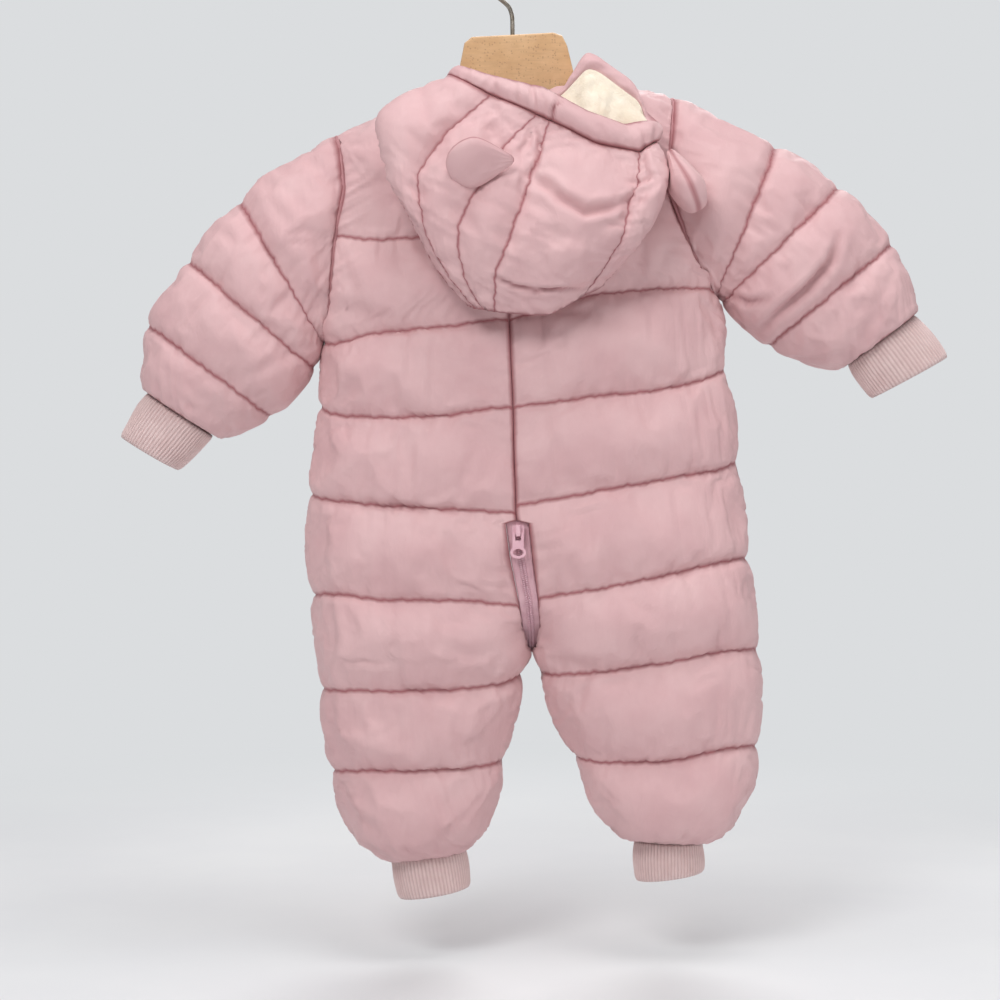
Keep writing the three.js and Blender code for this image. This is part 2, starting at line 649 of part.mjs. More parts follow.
// Hood fronts: the hood's two front edges, standing on the front of the neck up to the zip
const COLLAR_HEIGHT = 15;
const COLLAR_WALL = 2.4;
for (const name of ['left', 'right']) {
  const { grid } = panelGrid(name, 1);
  const first = Math.ceil(ROWS[name][0].neck * PANEL_COLUMNS);
  const foot = grid[0].slice(first).map((p) => p.clone().add(new THREE.Vector3(0, 0, SEAM_GAP)));
  const path = [0, 0.5, 1].map((f) => foot.map((p) => p.clone().addScaledVector(UP, f * COLLAR_HEIGHT)));
  const outer = path.map((row) => row.map((p) => p.clone().add(new THREE.Vector3(0, COLLAR_WALL, 0))));
  add(`hood_front_${name}`, wallGeometry(outer, path), 'padded');
}

// Ears: padded leaves, made from a ball that is narrowed towards the foot. tip, foot: x, y, z of the
// two ends. across: the leaf's width direction. width, thick: its size that way and through it.
const EARS = [
  { name: 'ear_left', foot: [1, -103.6, -181], tip: [-50, -103.2, -184],
    across: [0, 0, 1], width: 40, thick: 15 },
  { name: 'ear_right', foot: [120, -64, -166], tip: [142, -70, -214],
    across: [0, 1, 0], width: 44, thick: 27 },
];
const EAR_FOOT = 0.35;         // width of the foot, as a share of the full width

for (const ear of EARS) {
  const foot = new THREE.Vector3(...ear.foot);
  const tip = new THREE.Vector3(...ear.tip);
  const lengthwise = tip.clone().sub(foot);
  const across = new THREE.Vector3(...ear.across);
  const through = lengthwise.clone().cross(across).normalize();
  const middle = foot.clone().add(tip).divideScalar(2);
  const ball = new THREE.SphereGeometry(1, 16, 10);
  const position = ball.attributes.position;
  for (let k = 0; k < position.count; k += 1) {
    const p = new THREE.Vector3().fromBufferAttribute(position, k);
    const taper = THREE.MathUtils.lerp(EAR_FOOT, 1, THREE.MathUtils.smoothstep(-p.y, -1, 0.35));
    const point = middle.clone()
      .addScaledVector(lengthwise, -p.y / 2)
      .addScaledVector(across, p.x * ear.width / 2 * taper)
      .addScaledVector(through, p.z * ear.thick / 2 * taper);
    position.setXYZ(k, ...point.toArray());
  }
  add(ear.name, facedOut(welded(ball)), 'padded');
}

// Zip: one tape from the back seam under the crotch and up the front to the neck, in two halves
const ZIP_BACK_HEIGHTS = [-453.6, -465, -479, -496, -513, -522, -530, -537, -543, -547, -551, -553];
const ZIP_FRONT_HEIGHTS = [
  -553, -551, -547, -543, -537, -530, -522, -513, -496, -479, -462, -444, -417, -389, -362, -340,
  -317, -294, -271, -248, -225, -208, -190, -175, -162, -156,
];
const TAPE_LIFT = 0.6;         // of the tape's underside above the panels' plain inside
const TAPE_THICKNESS = 1.2;
const COIL_WIDTH = 4.8;
const COIL_THICKNESS = 1.6;
const SLIDER = { width: 9.6, height: 8.4, thickness: 4, corner: 2 };
const BAIL = { width: 3.4, height: 4.3, length: 9, wire: 1.3 };
const TAB = {
  width: 8.8, length: 20.5, thickness: 1.6, ring: 12.4, ringHeight: 9.6, holeWidth: 8.2, holeHeight: 5.4,
};
const TAB_SLOT = { width: 4.6, height: 5, bar: 1.5 };
const HINGE = {
  out: (BAIL.height - BAIL.wire) / 2,                      // off the slider's face
  down: BAIL.length / 2 - BAIL.wire - SEAM_GAP - 1.1,      // below the slider's middle
};

const coilLift = TAPE_LIFT + TAPE_THICKNESS + SEAM_GAP;

// Point and outward direction of the zip's middle line at a height, on the back or the front
function zipPlace(z, face) {
  const point = new THREE.Vector3(atHeight(SPINE, z, 'x'), -face * atHeight(SPINE, z, 'y'), z);
  const step = 2;
  const above = -face * atHeight(SPINE, Math.min(z + step, SPINE[0].z), 'y');
  const below = -face * atHeight(SPINE, Math.max(z - step, CROTCH_Z), 'y');
  const drop = Math.min(z + step, SPINE[0].z) - Math.max(z - step, CROTCH_Z);
  const normal = UP.clone().negate();
  if (z > CROTCH_Z) {
    normal.set(0, face * drop, face * (below - above));
  }
  return { point, normal: normal.normalize() };
}

// A strip along the zip: lift of its underside, its thickness, and its half width at a height
function zipStrip(heights, face, lift, thickness, halfWidth) {
  const inner = [];
  const outer = [];
  for (const z of heights) {
    const { point, normal } = zipPlace(z, face);
    const half = halfWidth(z);
    const row = [-half, half].map((x) => point.clone().add(new THREE.Vector3(x, 0, 0)));
    inner.push(row.map((p) => p.clone().addScaledVector(normal, lift)));
    outer.push(row.map((p) => p.clone().addScaledVector(normal, lift + thickness)));
  }
  if (heights.includes(CROTCH_Z)) {
    const end = heights.indexOf(CROTCH_Z);
    for (const row of [inner[end], outer[end]]) {
      row.forEach((p) => p.setY(face * SEAM_GAP / 2));
    }
  }
  return wallGeometry(outer, inner);
}

function roundedBox(width, height, corner) {
  const shape = new THREE.Shape();
  const [x, y] = [width / 2, height / 2];
  shape.moveTo(-x + corner, -y);
  shape.lineTo(x - corner, -y);
  shape.quadraticCurveTo(x, -y, x, -y + corner);
  shape.lineTo(x, y - corner);
  shape.quadraticCurveTo(x, y, x - corner, y);
  shape.lineTo(-x + corner, y);
  shape.quadraticCurveTo(-x, y, -x, y - corner);
  shape.lineTo(-x, -y + corner);
  shape.quadraticCurveTo(-x, -y, -x + corner, -y);
  return shape;
}

// A flat piece drawn as the viewer sees it, x to the right and y up, from depth 'from' to 'to'
// outwards along y, on the back (face -1) or turned round for the front
function plate(shape, from, to, curveSegments = 4) {
  const geometry = new THREE.ExtrudeGeometry(shape, { depth: to - from, bevelEnabled: false, curveSegments });
  geometry.translate(0, 0, from);
  geometry.rotateX(Math.PI / 2);
  return geometry;
}

function addSlider(label, face, z) {
  const { point, normal } = zipPlace(z, face);
  const lean = Math.asin(-normal.z);
  const turn = face < 0 ? 0 : Math.PI;
  const front = coilLift + SLIDER.thickness;
  const body = plate(roundedBox(SLIDER.width, SLIDER.height, SLIDER.corner), coilLift, front);
  const bail = bailGeometry(front);
  const whole = joined(body, bail);
  whole.rotateX(lean).rotateZ(turn).translate(point.x, point.y, point.z);
  add(`slider_${label}`, whole, 'pull');
  const tab = tabGeometry(front + HINGE.out - TAB.thickness / 2);
  tab.translate(0, 0, -HINGE.down);
  tab.rotateX(lean).rotateZ(turn).translate(point.x, point.y, point.z);
  add(`pull_tab_${label}`, tab, 'pull');
}

// The bail: a low arch along the slider's face, with its feet in the slider
function bailGeometry(front) {
  const half = BAIL.length / 2;
  const rise = BAIL.height;
  const foot = -SLIDER.thickness / 4;
  const inner = half - BAIL.wire;
  const crown = rise - BAIL.wire;
  const shape = new THREE.Shape();
  shape.moveTo(-half, foot);
  shape.lineTo(-half, crown);
  shape.quadraticCurveTo(-half, rise, -inner, rise);
  shape.lineTo(inner, rise);
  shape.quadraticCurveTo(half, rise, half, crown);
  shape.lineTo(half, foot);
  shape.lineTo(inner, foot);
  shape.lineTo(inner, crown);
  shape.lineTo(-inner, crown);
  shape.lineTo(-inner, foot);
  const geometry = new THREE.ExtrudeGeometry(shape, {
    depth: BAIL.width, bevelEnabled: false, curveSegments: 3,
  });
  geometry.translate(0, front, -BAIL.width / 2);
  const upright = new THREE.Matrix4().makeBasis(
    new THREE.Vector3(0, 0, 1), new THREE.Vector3(0, -1, 0), new THREE.Vector3(1, 0, 0),
  );
  return geometry.applyMatrix4(upright);
}

// The pull tab, drawn round its hinge line: a slotted plate that widens into a ring
function tabGeometry(from) {
  const top = TAB_SLOT.bar / 2;
  const end = top - TAB.length;
  const ringZ = end + TAB.ringHeight / 2;
  const half = TAB.width / 2;
  const shape = new THREE.Shape();
  shape.moveTo(-half + 1, top);
  shape.lineTo(half - 1, top);
  shape.lineTo(half, top - 1);
  shape.lineTo(half, ringZ + TAB.ringHeight * 0.4);
  shape.absellipse(0, ringZ, TAB.ring / 2, TAB.ringHeight / 2, Math.PI * 0.25, -Math.PI * 1.25, true);
  shape.lineTo(-half, top - 1);
  const slot = new THREE.Path();
  const slotHalf = TAB_SLOT.width / 2;
  slot.moveTo(-slotHalf, -top);
  slot.lineTo(-slotHalf, -top - TAB_SLOT.height);
  slot.lineTo(slotHalf, -top - TAB_SLOT.height);
  slot.lineTo(slotHalf, -top);
  const hole = new THREE.Path();
  hole.absellipse(0, ringZ, TAB.holeWidth / 2, TAB.holeHeight / 2, 0, 2 * Math.PI, false);
  shape.holes = [slot, hole];
  return welded(plate(shape, from, from + TAB.thickness, 8));
}

for (const [label, face, heights] of [['back', -1, ZIP_BACK_HEIGHTS], ['front', 1, ZIP_FRONT_HEIGHTS]]) {
  const tapeHalf = (z) => zipHalfWidth(z, face) - SEAM_GAP;
  add(`zip_tape_${label}`, zipStrip(heights, face, TAPE_LIFT, TAPE_THICKNESS, tapeHalf), 'zip');
  const top = face < 0 ? heights[0] : heights[heights.length - 1];
  const coilTop = top - SLIDER.height - 1;
  const below = heights.filter((z) => z < coilTop);
  const coilHeights = face < 0 ? [coilTop, ...below] : [...below, coilTop];
  const coilHalf = () => COIL_WIDTH / 2;
  add(`zip_coil_${label}`, zipStrip(coilHeights, face, coilLift, COIL_THICKNESS, coilHalf), 'zip');
  addSlider(label, face, top - SLIDER.height / 2 - 0.5);
}

// Hanger: a wooden yoke with a bare plate at its middle, and a wire hook
const YOKE_THICKNESS = 12;
const YOKE_BEVEL = 1.5;
const YOKE = [
  [-32, -65], [33, -61.5], [40, -64], [44, -72], [50, -97], [57, -113], [88, -121.6], [116, -133],
  [120, -139], [116, -145], [86, -139], [50, -128], [4, -117], [-50, -138], [-88, -155], [-126, -172],
  [-131, -166], [-129, -160], [-99, -138.7], [-60, -122.7], [-47, -113], [-42, -90], [-38, -70],
];
const WIRE = 3.5;
const HOOK_RADIUS = 17;        // inside the loop
const HOOK_STEM = [[0.5, -62.8], [0.3, -50], [-1.5, -42]];
const HOOK_FROM = 222;         // degrees round the loop, from its right side
const HOOK_TO = -28;

const yokeShape = new THREE.Shape(YOKE.map(([x, z]) => new THREE.Vector2(x, z)));
const yoke = new THREE.ExtrudeGeometry(yokeShape, {
  depth: YOKE_THICKNESS - 2 * YOKE_BEVEL, bevelThickness: YOKE_BEVEL, bevelSize: YOKE_BEVEL,
  bevelOffset: -YOKE_BEVEL, bevelSegments: 2,
});
yoke.translate(0, 0, YOKE_BEVEL - YOKE_THICKNESS / 2).rotateX(Math.PI / 2);
add('hanger_yoke', facedOut(welded(yoke)), 'wood');

const hookPath = HOOK_STEM.map(([x, z]) => new THREE.Vector3(x, 0, z));
const hookRadius = HOOK_RADIUS + WIRE / 2;
for (let degrees = HOOK_FROM; degrees >= HOOK_TO; degrees -= 25) {
  const angle = THREE.MathUtils.degToRad(degrees);
  const x = hookRadius * Math.cos(angle);
  hookPath.push(new THREE.Vector3(x, 0, hookRadius * Math.sin(angle) - HOOK_RADIUS));
}
const wireSection = new THREE.Shape().absarc(0, 0, WIRE / 2, 0, 2 * Math.PI, false);
const hook = new THREE.ExtrudeGeometry(wireSection, {
  extrudePath: new THREE.CatmullRomCurve3(hookPath), steps: 28, curveSegments: 4, bevelEnabled: false,
});
add('hanger_hook', facedOut(welded(hook)), 'wire');

export default suit;
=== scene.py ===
# %% [markdown]
# A baby's padded snowsuit hangs on a wooden hanger and shows its back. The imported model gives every
# piece's place and size, so the lesson starts by loading it as a fixed frame. Everything after this
# cell dresses that frame: no length is guessed again, and nothing is moved.

# %% The frame and the sizes
import math

import bmesh
import bpy
import numpy as np
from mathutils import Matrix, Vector


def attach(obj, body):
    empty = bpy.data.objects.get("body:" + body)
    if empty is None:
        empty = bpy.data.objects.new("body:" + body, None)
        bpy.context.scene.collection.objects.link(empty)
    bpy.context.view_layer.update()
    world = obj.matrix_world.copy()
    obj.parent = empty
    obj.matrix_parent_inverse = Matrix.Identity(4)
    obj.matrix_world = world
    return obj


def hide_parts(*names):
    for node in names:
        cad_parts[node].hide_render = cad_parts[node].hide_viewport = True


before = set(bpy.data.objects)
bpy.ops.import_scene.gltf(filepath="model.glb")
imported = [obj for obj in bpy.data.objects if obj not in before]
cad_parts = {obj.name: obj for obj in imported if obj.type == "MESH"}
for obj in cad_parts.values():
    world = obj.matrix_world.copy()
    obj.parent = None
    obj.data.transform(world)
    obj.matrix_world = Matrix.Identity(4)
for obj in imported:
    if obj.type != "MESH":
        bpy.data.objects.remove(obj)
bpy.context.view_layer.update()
GARMENT = "garment"
MM = 0.001

# %% [markdown]
# The photo was taken with the camera level with the middle of the suit, square on to its back. A
# long lens from 1.5 m keeps the sleeves from looking stretched, so the same lens is used here.

# %% The camera
CAMERA_MM = 1500          # from the lens to the hanger
VIEW_X, VIEW_Z = -9.6, -434.4      # mm, what the middle of the photo shows
LENS = 67.5
SENSOR = 36.0
PHOTO_PIXELS = 1000
MM_A_PIXEL = SENSOR / LENS * CAMERA_MM / PHOTO_PIXELS

camera_data = bpy.data.cameras.new("camera")
camera_data.lens = LENS
camera_data.sensor_width = SENSOR
camera = bpy.data.objects.new("camera", camera_data)
camera.location = (VIEW_X * MM, -CAMERA_MM * MM, VIEW_Z * MM)
camera.rotation_euler = (math.pi / 2, 0, 0)
bpy.context.scene.collection.objects.link(camera)
bpy.context.scene.camera = camera


def seen_at(px, py, depth):
    """Place in mm of a photo pixel on a surface that stands depth mm behind the hanger."""
    scale = MM_A_PIXEL * (CAMERA_MM + depth) / CAMERA_MM
    middle = PHOTO_PIXELS / 2
    return VIEW_X + (px - middle) * scale, VIEW_Z - (py - middle) * scale


print("a pixel is", MM_A_PIXEL, "mm wide on the hanger")

# %% [markdown]
# The shapes come from the same short tables as the solids: rows of heights for the panels, rings for
# the sleeves, curves for the hood. Here each is filled in on a much finer grid, so that the cloth can
# be puffed, puckered and creased. A smooth curve that never overshoots its points joins them.

# %% Curves through the tables
def slopes(x, y):
    """Slope at each point of a curve that keeps between its points, columns of y at once."""
    step = np.diff(x)[:, None]
    rise = np.diff(y, axis=0) / step
    inner = np.zeros_like(y[1:-1])
    same = rise[1:] * rise[:-1] > 0
    both = 2 * rise[1:] * rise[:-1] / np.where(same, rise[1:] + rise[:-1], 1)
    inner[same] = both[same]
    return np.vstack([rise[:1], inner, rise[-1:]])


def smooth_fill(x, y, at):
    """Values at the places 'at' of a smooth curve through (x, y); x rises."""
    x, y, at = np.asarray(x, float), np.asarray(y, float), np.asarray(at, float)
    shape = y.shape[1:]
    flat = y.reshape(len(x), -1)
    tangent = slopes(x, flat)
    i = np.clip(np.searchsorted(x, at, side="right") - 1, 0, len(x) - 2)
    width = (x[i + 1] - x[i])[:, None]
    f = (at - x[i])[:, None] / width
    value = (
        flat[i] * (1 + 2 * f) * (1 - f) ** 2 + flat[i + 1] * f * f * (3 - 2 * f)
        + width * (tangent[i] * f * (1 - f) ** 2 - tangent[i + 1] * f * f * (1 - f))
    )
    return value.reshape((len(at),) + shape)


def eased(share):
    """A share from 0 to 1 that starts and ends gently."""
    share = np.clip(share, 0, 1)
    return share * share * (3 - 2 * share)


def unit(v):
    """Directions of length 1."""
    return v / np.maximum(np.linalg.norm(v, axis=-1, keepdims=True), 1e-9)


def grid_normals(grid, closed):
    """Unit normal at each point of a [row, column, xyz] grid; a closed one's columns join."""
    down = np.gradient(grid, axis=0)
    if closed:
        across = (np.roll(grid, -1, 1) - np.roll(grid, 1, 1)) / 2
        normals = unit(np.cross(across, down))
        outwards = grid - grid.mean(axis=1, keepdims=True)
        return normals if (normals * outwards).sum() > 0 else -normals
    return unit(np.cross(np.gradient(grid, axis=1), down))


def channel_places(grid, seams, axis):
    """Share of the way from one seam to the next at each point, and the channel's width."""
    lines = grid if axis == 0 else grid.swapaxes(0, 1)
    steps = np.linalg.norm(np.diff(lines, axis=0), axis=2)
    travelled = np.vstack([np.zeros(lines.shape[1]), np.cumsum(steps, axis=0)])
    share = np.zeros(lines.shape[:2])
    width = np.zeros(lines.shape[:2])
    stops = [k for k, seam in enumerate(seams) if seam]
    stops = sorted({0, len(lines) - 1, *stops})
    for first, last in zip(stops, stops[1:]):
        span = travelled[last] - travelled[first]
        part = slice(first, last + 1)
        share[part] = (travelled[part] - travelled[first]) / np.maximum(span, 1e-6)
        width[part] = span
    return (share, width) if axis == 0 else (share.T, width.T)


def waves(points, seed, length, count=14):
    """A smooth random field from -1 to 1 over points, made of sine waves about 'length' mm long."""
    random = np.random.default_rng(seed)
    directions = unit(random.normal(size=(count, 3)))
    numbers = 2 * np.pi / (length * random.uniform(0.6, 1.6, count))
    phases = random.uniform(0, 2 * np.pi, count)
    return np.sin((points @ directions.T) * numbers + phases).sum(-1) / math.sqrt(count)


print("curves ready")

# %% [markdown]
# Every padded piece becomes a closed wall: the puffed outside, the plain inside, and a rim that
# joins them. Faces are quads in rows, which bend and smooth better than loose triangles. A number
# called seam is kept at every point, 1 on a stitched line, and the cloth's colour reads it to paint
# shade into the seams.

# %% Walls
def grid_quads(rows, columns, closed):
    """Quads between the points of a [row, column] grid, as indices."""
    i = np.arange(rows - 1)[:, None]
    j = np.arange(columns if closed else columns - 1)[None, :]
    k = (j + 1) % columns
    corners = (i * columns + j, (i + 1) * columns + j, (i + 1) * columns + k, i * columns + k)
    return np.stack([corner.ravel() for corner in corners], 1)


def wall_faces(rows, columns, closed, capped):
    """Quads of a closed wall between an outer and an inner grid, as indices."""
    offset = rows * columns
    quads = grid_quads(rows, columns, closed)
    faces = [quads, quads[:, [0, 3, 2, 1]] + offset]
    edges = []
    if not closed:
        left = np.arange(rows) * columns
        edges += [left[::-1], left + columns - 1]
    across = np.arange(columns + 1) % columns if closed else np.arange(columns)
    edges.append(across)
    if not capped:
        edges.append(across[::-1] + (rows - 1) * columns)
    for edge in edges:
        faces.append(np.stack([edge[:-1], edge[1:], edge[1:] + offset, edge[:-1] + offset], 1))
    return np.vstack(faces).tolist()


def rod_faces(rings, sides, start=0, joined=False):
    """Faces round a rod that runs through rings of points; its two ends are capped or joined."""
    count = rings * sides
    faces = (grid_quads(rings + joined, sides, True) % count + start).tolist()
    if not joined:
        last = start + count - sides
        faces += [list(range(start, start + sides))[::-1], list(range(last, last + sides))]
    return faces


def mesh_object(name, points, faces, seam=None):
    """A smooth-shaded object from points in mm, its faces turned outwards."""
    mesh = bpy.data.meshes.new(name)
    mesh.from_pydata((np.asarray(points) * MM).tolist(), [], faces)
    # the seam number, which the cloth's colour reads to paint shade into the seams
    if seam is not None:
        mesh.attributes.new("seam", "FLOAT", "POINT").data.foreach_set("value", seam)
    work = bmesh.new()
    work.from_mesh(mesh)
    bmesh.ops.recalc_face_normals(work, faces=work.faces)
    work.to_mesh(mesh)
    work.free()
    mesh.polygons.foreach_set("use_smooth", [True] * len(mesh.polygons))
    mesh.update()
    made = bpy.data.objects.new(name, mesh)
    bpy.context.scene.collection.objects.link(made)
    return made


def wall_object(name, outer, inner, seam, closed=False, capped=False):
    """The closed wall of one padded piece."""
    rows, columns = outer.shape[:2]
    points = np.vstack([outer.reshape(-1, 3), inner.reshape(-1, 3)])
    seams = np.concatenate([seam.ravel(), np.zeros(seam.size)])
    faces = wall_faces(rows, columns, closed, capped)
    if capped:
        for start, grid in ((0, outer), (rows * columns, inner)):
            hub = len(points)
            points = np.vstack([points, grid[-1].mean(axis=0)])
            # the hub point takes half of the seams' painted shade
            seams = np.append(seams, 0.5)
            ring = start + (rows - 1) * columns + np.arange(columns + 1) % columns
            faces += [[hub, int(p), int(q)] for p, q in zip(ring[:-1], ring[1:])]
    made = mesh_object(name, points, faces, seams)
    print(f"{name}: {len(points)} points, {len(faces)} faces")
    return made


print("walls ready")

# %% [markdown]
# Filling pushes a shell fabric out between its seams, and the thread holds the seams in. The seams
# come out shorter than the cloth beside them, which makes the short puckers that cross every seam of
# a padded coat. Two steps give this: a pillow profile with puckers, then a short cloth simulation in
# which the seams are pinned and slightly too much cloth is blown up from inside.

# %% Padding
WALL_MM = 3.0
PUFF = 11.0               # mm, the highest that a channel may stand
PUFF_SHARE = 0.17         # of a channel's width, how high it stands
PUFF_EDGE = 0.28          # of that height, what is left at a panel's side edges
PILLOW_POWER = 0.55       # below 1 the channel is flat on top and steep at its seams
START_SHARE = 0.95        # of the full puff, before the simulation swells it
THINNEST = 1.4            # mm that a pucker may sink into the wall
PUCKER_WAVES = 5          # waves of different pitch that are added up
PUCKER_PITCH = 7.5        # mm along a seam
PUCKER_PITCH_SPREAD = (0.7, 1.9)            # of that pitch, the finest and the widest wave
PUCKER_DRIFT = 1.6        # how unevenly a wave's folds follow one another
PUCKER_DRIFT_PITCHES = 6.3                  # pitches after which the drift repeats
PUCKER_SHARPNESS = 3
PUCKER_REACH = 9.0        # mm from a seam at which a pucker has mostly gone
PUCKER_REACH_WAVE = 23.0  # mm along the seam over which that reach grows and shrinks
PUCKER_DEPTH = 3.8
THREAD_FLAT = 2.5         # mm beside the thread over which the puckers come up
CREASE_LENGTHS = ((58, 0.8), (24, 0.2))     # mm long, mm high
CREASE_PULL = (1.5, 1, 0.8)                 # creases run more up and down than across
CREASE_FREE = 4           # mm of puff from which a crease has its full height
SEAM_BLUR = 0.7           # mm over which the seam's shadow tint fades
SEAM_WANDER = 0.75        # mm that a pulled seam strays to either side
SEAM_WANDER_REACH = 5.0   # mm from the seam at which that has mostly gone
WANDER_PITCHES = (6.5, 12.0, 23.0, 47.0)    # mm
WANDER_SUM = 2.2          # what the waves of those pitches add up to at most places
STILL_EDGE = 14           # one part in this many of a panel's width keeps its seams in place


def pillow(share, floor):
    """Height of a stuffed channel from 0 to 1, at a share of the way across it."""
    return floor + (1 - floor) * np.sin(np.pi * np.clip(share, 0, 1)) ** PILLOW_POWER


def puckers(along, from_seam, seed):
    """Depth of the small folds that cross a seam, at a distance along and away from it."""
    random = np.random.default_rng(seed)
    total = np.zeros_like(along)
    for turn in range(PUCKER_WAVES):
        pitch = PUCKER_PITCH * random.uniform(*PUCKER_PITCH_SPREAD)
        phase = random.uniform(0, 2 * np.pi)
        drift = PUCKER_DRIFT * np.sin(2 * np.pi * along / (pitch * PUCKER_DRIFT_PITCHES) + turn)
        total += np.abs(np.sin(np.pi * along / pitch + phase + drift)) ** PUCKER_SHARPNESS
    reach = PUCKER_REACH * (0.75 + 0.5 * np.sin(along / PUCKER_REACH_WAVE + seed))
    return PUCKER_DEPTH * total / PUCKER_WAVES * np.exp(-from_seam / reach)


def wander(along, seed):
    """How far a pulled seam strays sideways, at a distance along it."""
    random = np.random.default_rng(seed)
    total = np.zeros_like(along)
    for pitch in WANDER_PITCHES:
        real_pitch = pitch * random.uniform(0.8, 1.2)
        phase = random.uniform(0, 6.3)          # about one full turn
        total += np.sin(2 * np.pi * along / real_pitch + phase)
    return SEAM_WANDER * total / WANDER_SUM


def path_length(grid, axis):
    """Distance travelled through a grid's points along one of its two directions."""
    first = grid[:1] if axis == 0 else grid[:, :1]
    return np.cumsum(np.linalg.norm(np.diff(grid, axis=axis, prepend=first), axis=2), axis=axis)


def padded_outside(base, row_seams, column_seams, normals, seed, row_floor=0.0, column_floor=0.0,
                   closed=False, flat_to=None, puff=PUFF, share=PUFF_SHARE, fullness=1.0):
    """The puffed outside of a base grid, and the seam number at each point."""
    if flat_to is not None:
        normals = flat_to(normals)
    down, down_width = channel_places(base, row_seams, 0)
    line = np.concatenate([base, base[:, :1]], axis=1) if closed else base
    ends = list(column_seams) + [column_seams[0]] if closed else column_seams
    across, across_width = channel_places(line, ends, 1)
    across, across_width = across[:, :base.shape[1]], across_width[:, :base.shape[1]]
    limit = np.minimum(puff, share * np.minimum(down_width, across_width)) * fullness
    rise = START_SHARE * limit * pillow(down, row_floor) * pillow(across, column_floor)
    from_row = np.minimum(down, 1 - down) * down_width
    from_column = np.minimum(across, 1 - across) * across_width
    rows_sewn, columns_sewn = row_floor < 0.5, column_floor < 0.5
    travelled, fallen = path_length(base, 1), path_length(base, 0)
    if rows_sewn:
        rise -= puckers(travelled, from_row, seed) * np.clip(from_row / THREAD_FLAT, 0, 1)
    if columns_sewn:
        rise -= puckers(fallen, from_column, seed + 50) * np.clip(from_column / THREAD_FLAT, 0, 1)
    free = np.clip(rise / CREASE_FREE, 0, 1)
    for length, height in CREASE_LENGTHS:
        rise += height * free * waves(base * CREASE_PULL, seed + length, length)
    sewn = np.zeros_like(rise)
    if rows_sewn:
        sewn = np.maximum(sewn, np.exp(-from_row / SEAM_BLUR))
    if columns_sewn:
        sewn = np.maximum(sewn, np.exp(-from_column / SEAM_BLUR))
    outer = base + normals * (WALL_MM + np.maximum(rise, -THINNEST))[..., None]
    inside = np.zeros_like(rise)
    inside[1:-1] = 1
    if rows_sewn:
        downwards = unit(np.gradient(base, axis=0))
        shift = wander(travelled, seed + 7) * np.exp(-from_row / SEAM_WANDER_REACH) * inside
        edges = 1 if closed else np.clip(np.minimum(across, 1 - across) * STILL_EDGE, 0, 1)
        outer = outer + downwards * (shift * edges)[..., None]
    if columns_sewn and closed:
        sideways = unit(np.roll(base, -1, 1) - np.roll(base, 1, 1))
        shift = wander(fallen, seed + 9) * np.exp(-from_column / SEAM_WANDER_REACH) * inside
        outer = outer + sideways * shift[..., None]
    return outer, sewn


print("padding ready")

# %% The cloth simulation
SIM_FRAMES = 10
SIM_PRESSURE = 4.0
SIM_SPARE_CLOTH = 0.035    # share of cloth that is spare in each direction
SIM_CAP = 4.5              # mm that a point may move
SIM_QUALITY = 4
SIM_MASS = 0.12
SIM_STRETCH = 12
SIM_BENDING = 0.12


def blown_up(outer, held, closed, cap=SIM_CAP):
    """The outside after a short cloth simulation; held marks the points that the thread pins."""
    quads = grid_quads(*outer.shape[:2], closed)
    normals = grid_normals(outer, closed)
    corner = outer.reshape(-1, 3)
    first = quads[0]
    facing = np.cross(corner[first[1]] - corner[first[0]], corner[first[3]] - corner[first[0]])
    if facing @ normals.reshape(-1, 3)[first[0]] < 0:
        quads = quads[:, ::-1]
    mesh = bpy.data.meshes.new("blow")
    mesh.from_pydata((corner * MM).tolist(), [], quads.tolist())
    shape = bpy.data.objects.new("blow", mesh)
    bpy.context.scene.collection.objects.link(shape)
    group = shape.vertex_groups.new(name="held")
    group.add(np.flatnonzero(held.ravel()).tolist(), 1.0, "REPLACE")
    cloth = shape.modifiers.new("Cloth", "CLOTH")
    settings = cloth.settings
    settings.quality = SIM_QUALITY
    settings.mass = SIM_MASS
    settings.tension_stiffness = settings.compression_stiffness = SIM_STRETCH
    settings.bending_stiffness = SIM_BENDING
    settings.vertex_group_mass = "held"
    settings.shrink_min = -SIM_SPARE_CLOTH
    settings.use_pressure = True
    settings.uniform_pressure_force = SIM_PRESSURE
    settings.effector_weights.gravity = 0
    cloth.collision_settings.use_collision = False
    scene = bpy.context.scene
    for number in range(1, SIM_FRAMES + 1):
        scene.frame_set(number)
    done = shape.evaluated_get(bpy.context.evaluated_depsgraph_get())
    moved = np.empty(len(corner) * 3)
    done.data.vertices.foreach_get("co", moved)
    scene.frame_set(1)
    bpy.data.objects.remove(shape)
    bpy.data.meshes.remove(mesh)
    shift = moved.reshape(-1, 3) / MM - corner
    length = np.linalg.norm(shift, axis=1, keepdims=True)
    shift *= cap * np.tanh(length / cap) / np.maximum(length, 1e-9)
    print(f"  the cloth moved {length.mean():.1f} mm on average")
    return (corner + shift).reshape(outer.shape)


print("simulation frames:", SIM_FRAMES)

# %% [markdown]
# The suit is one padded body that is cut into four panels. Their quilting seams run across, a seam
# joins them down the middle of the back, and a zip joins them below it and up the front. The tables
# hold the same numbers as the solids, so each panel lies exactly where its solid does.

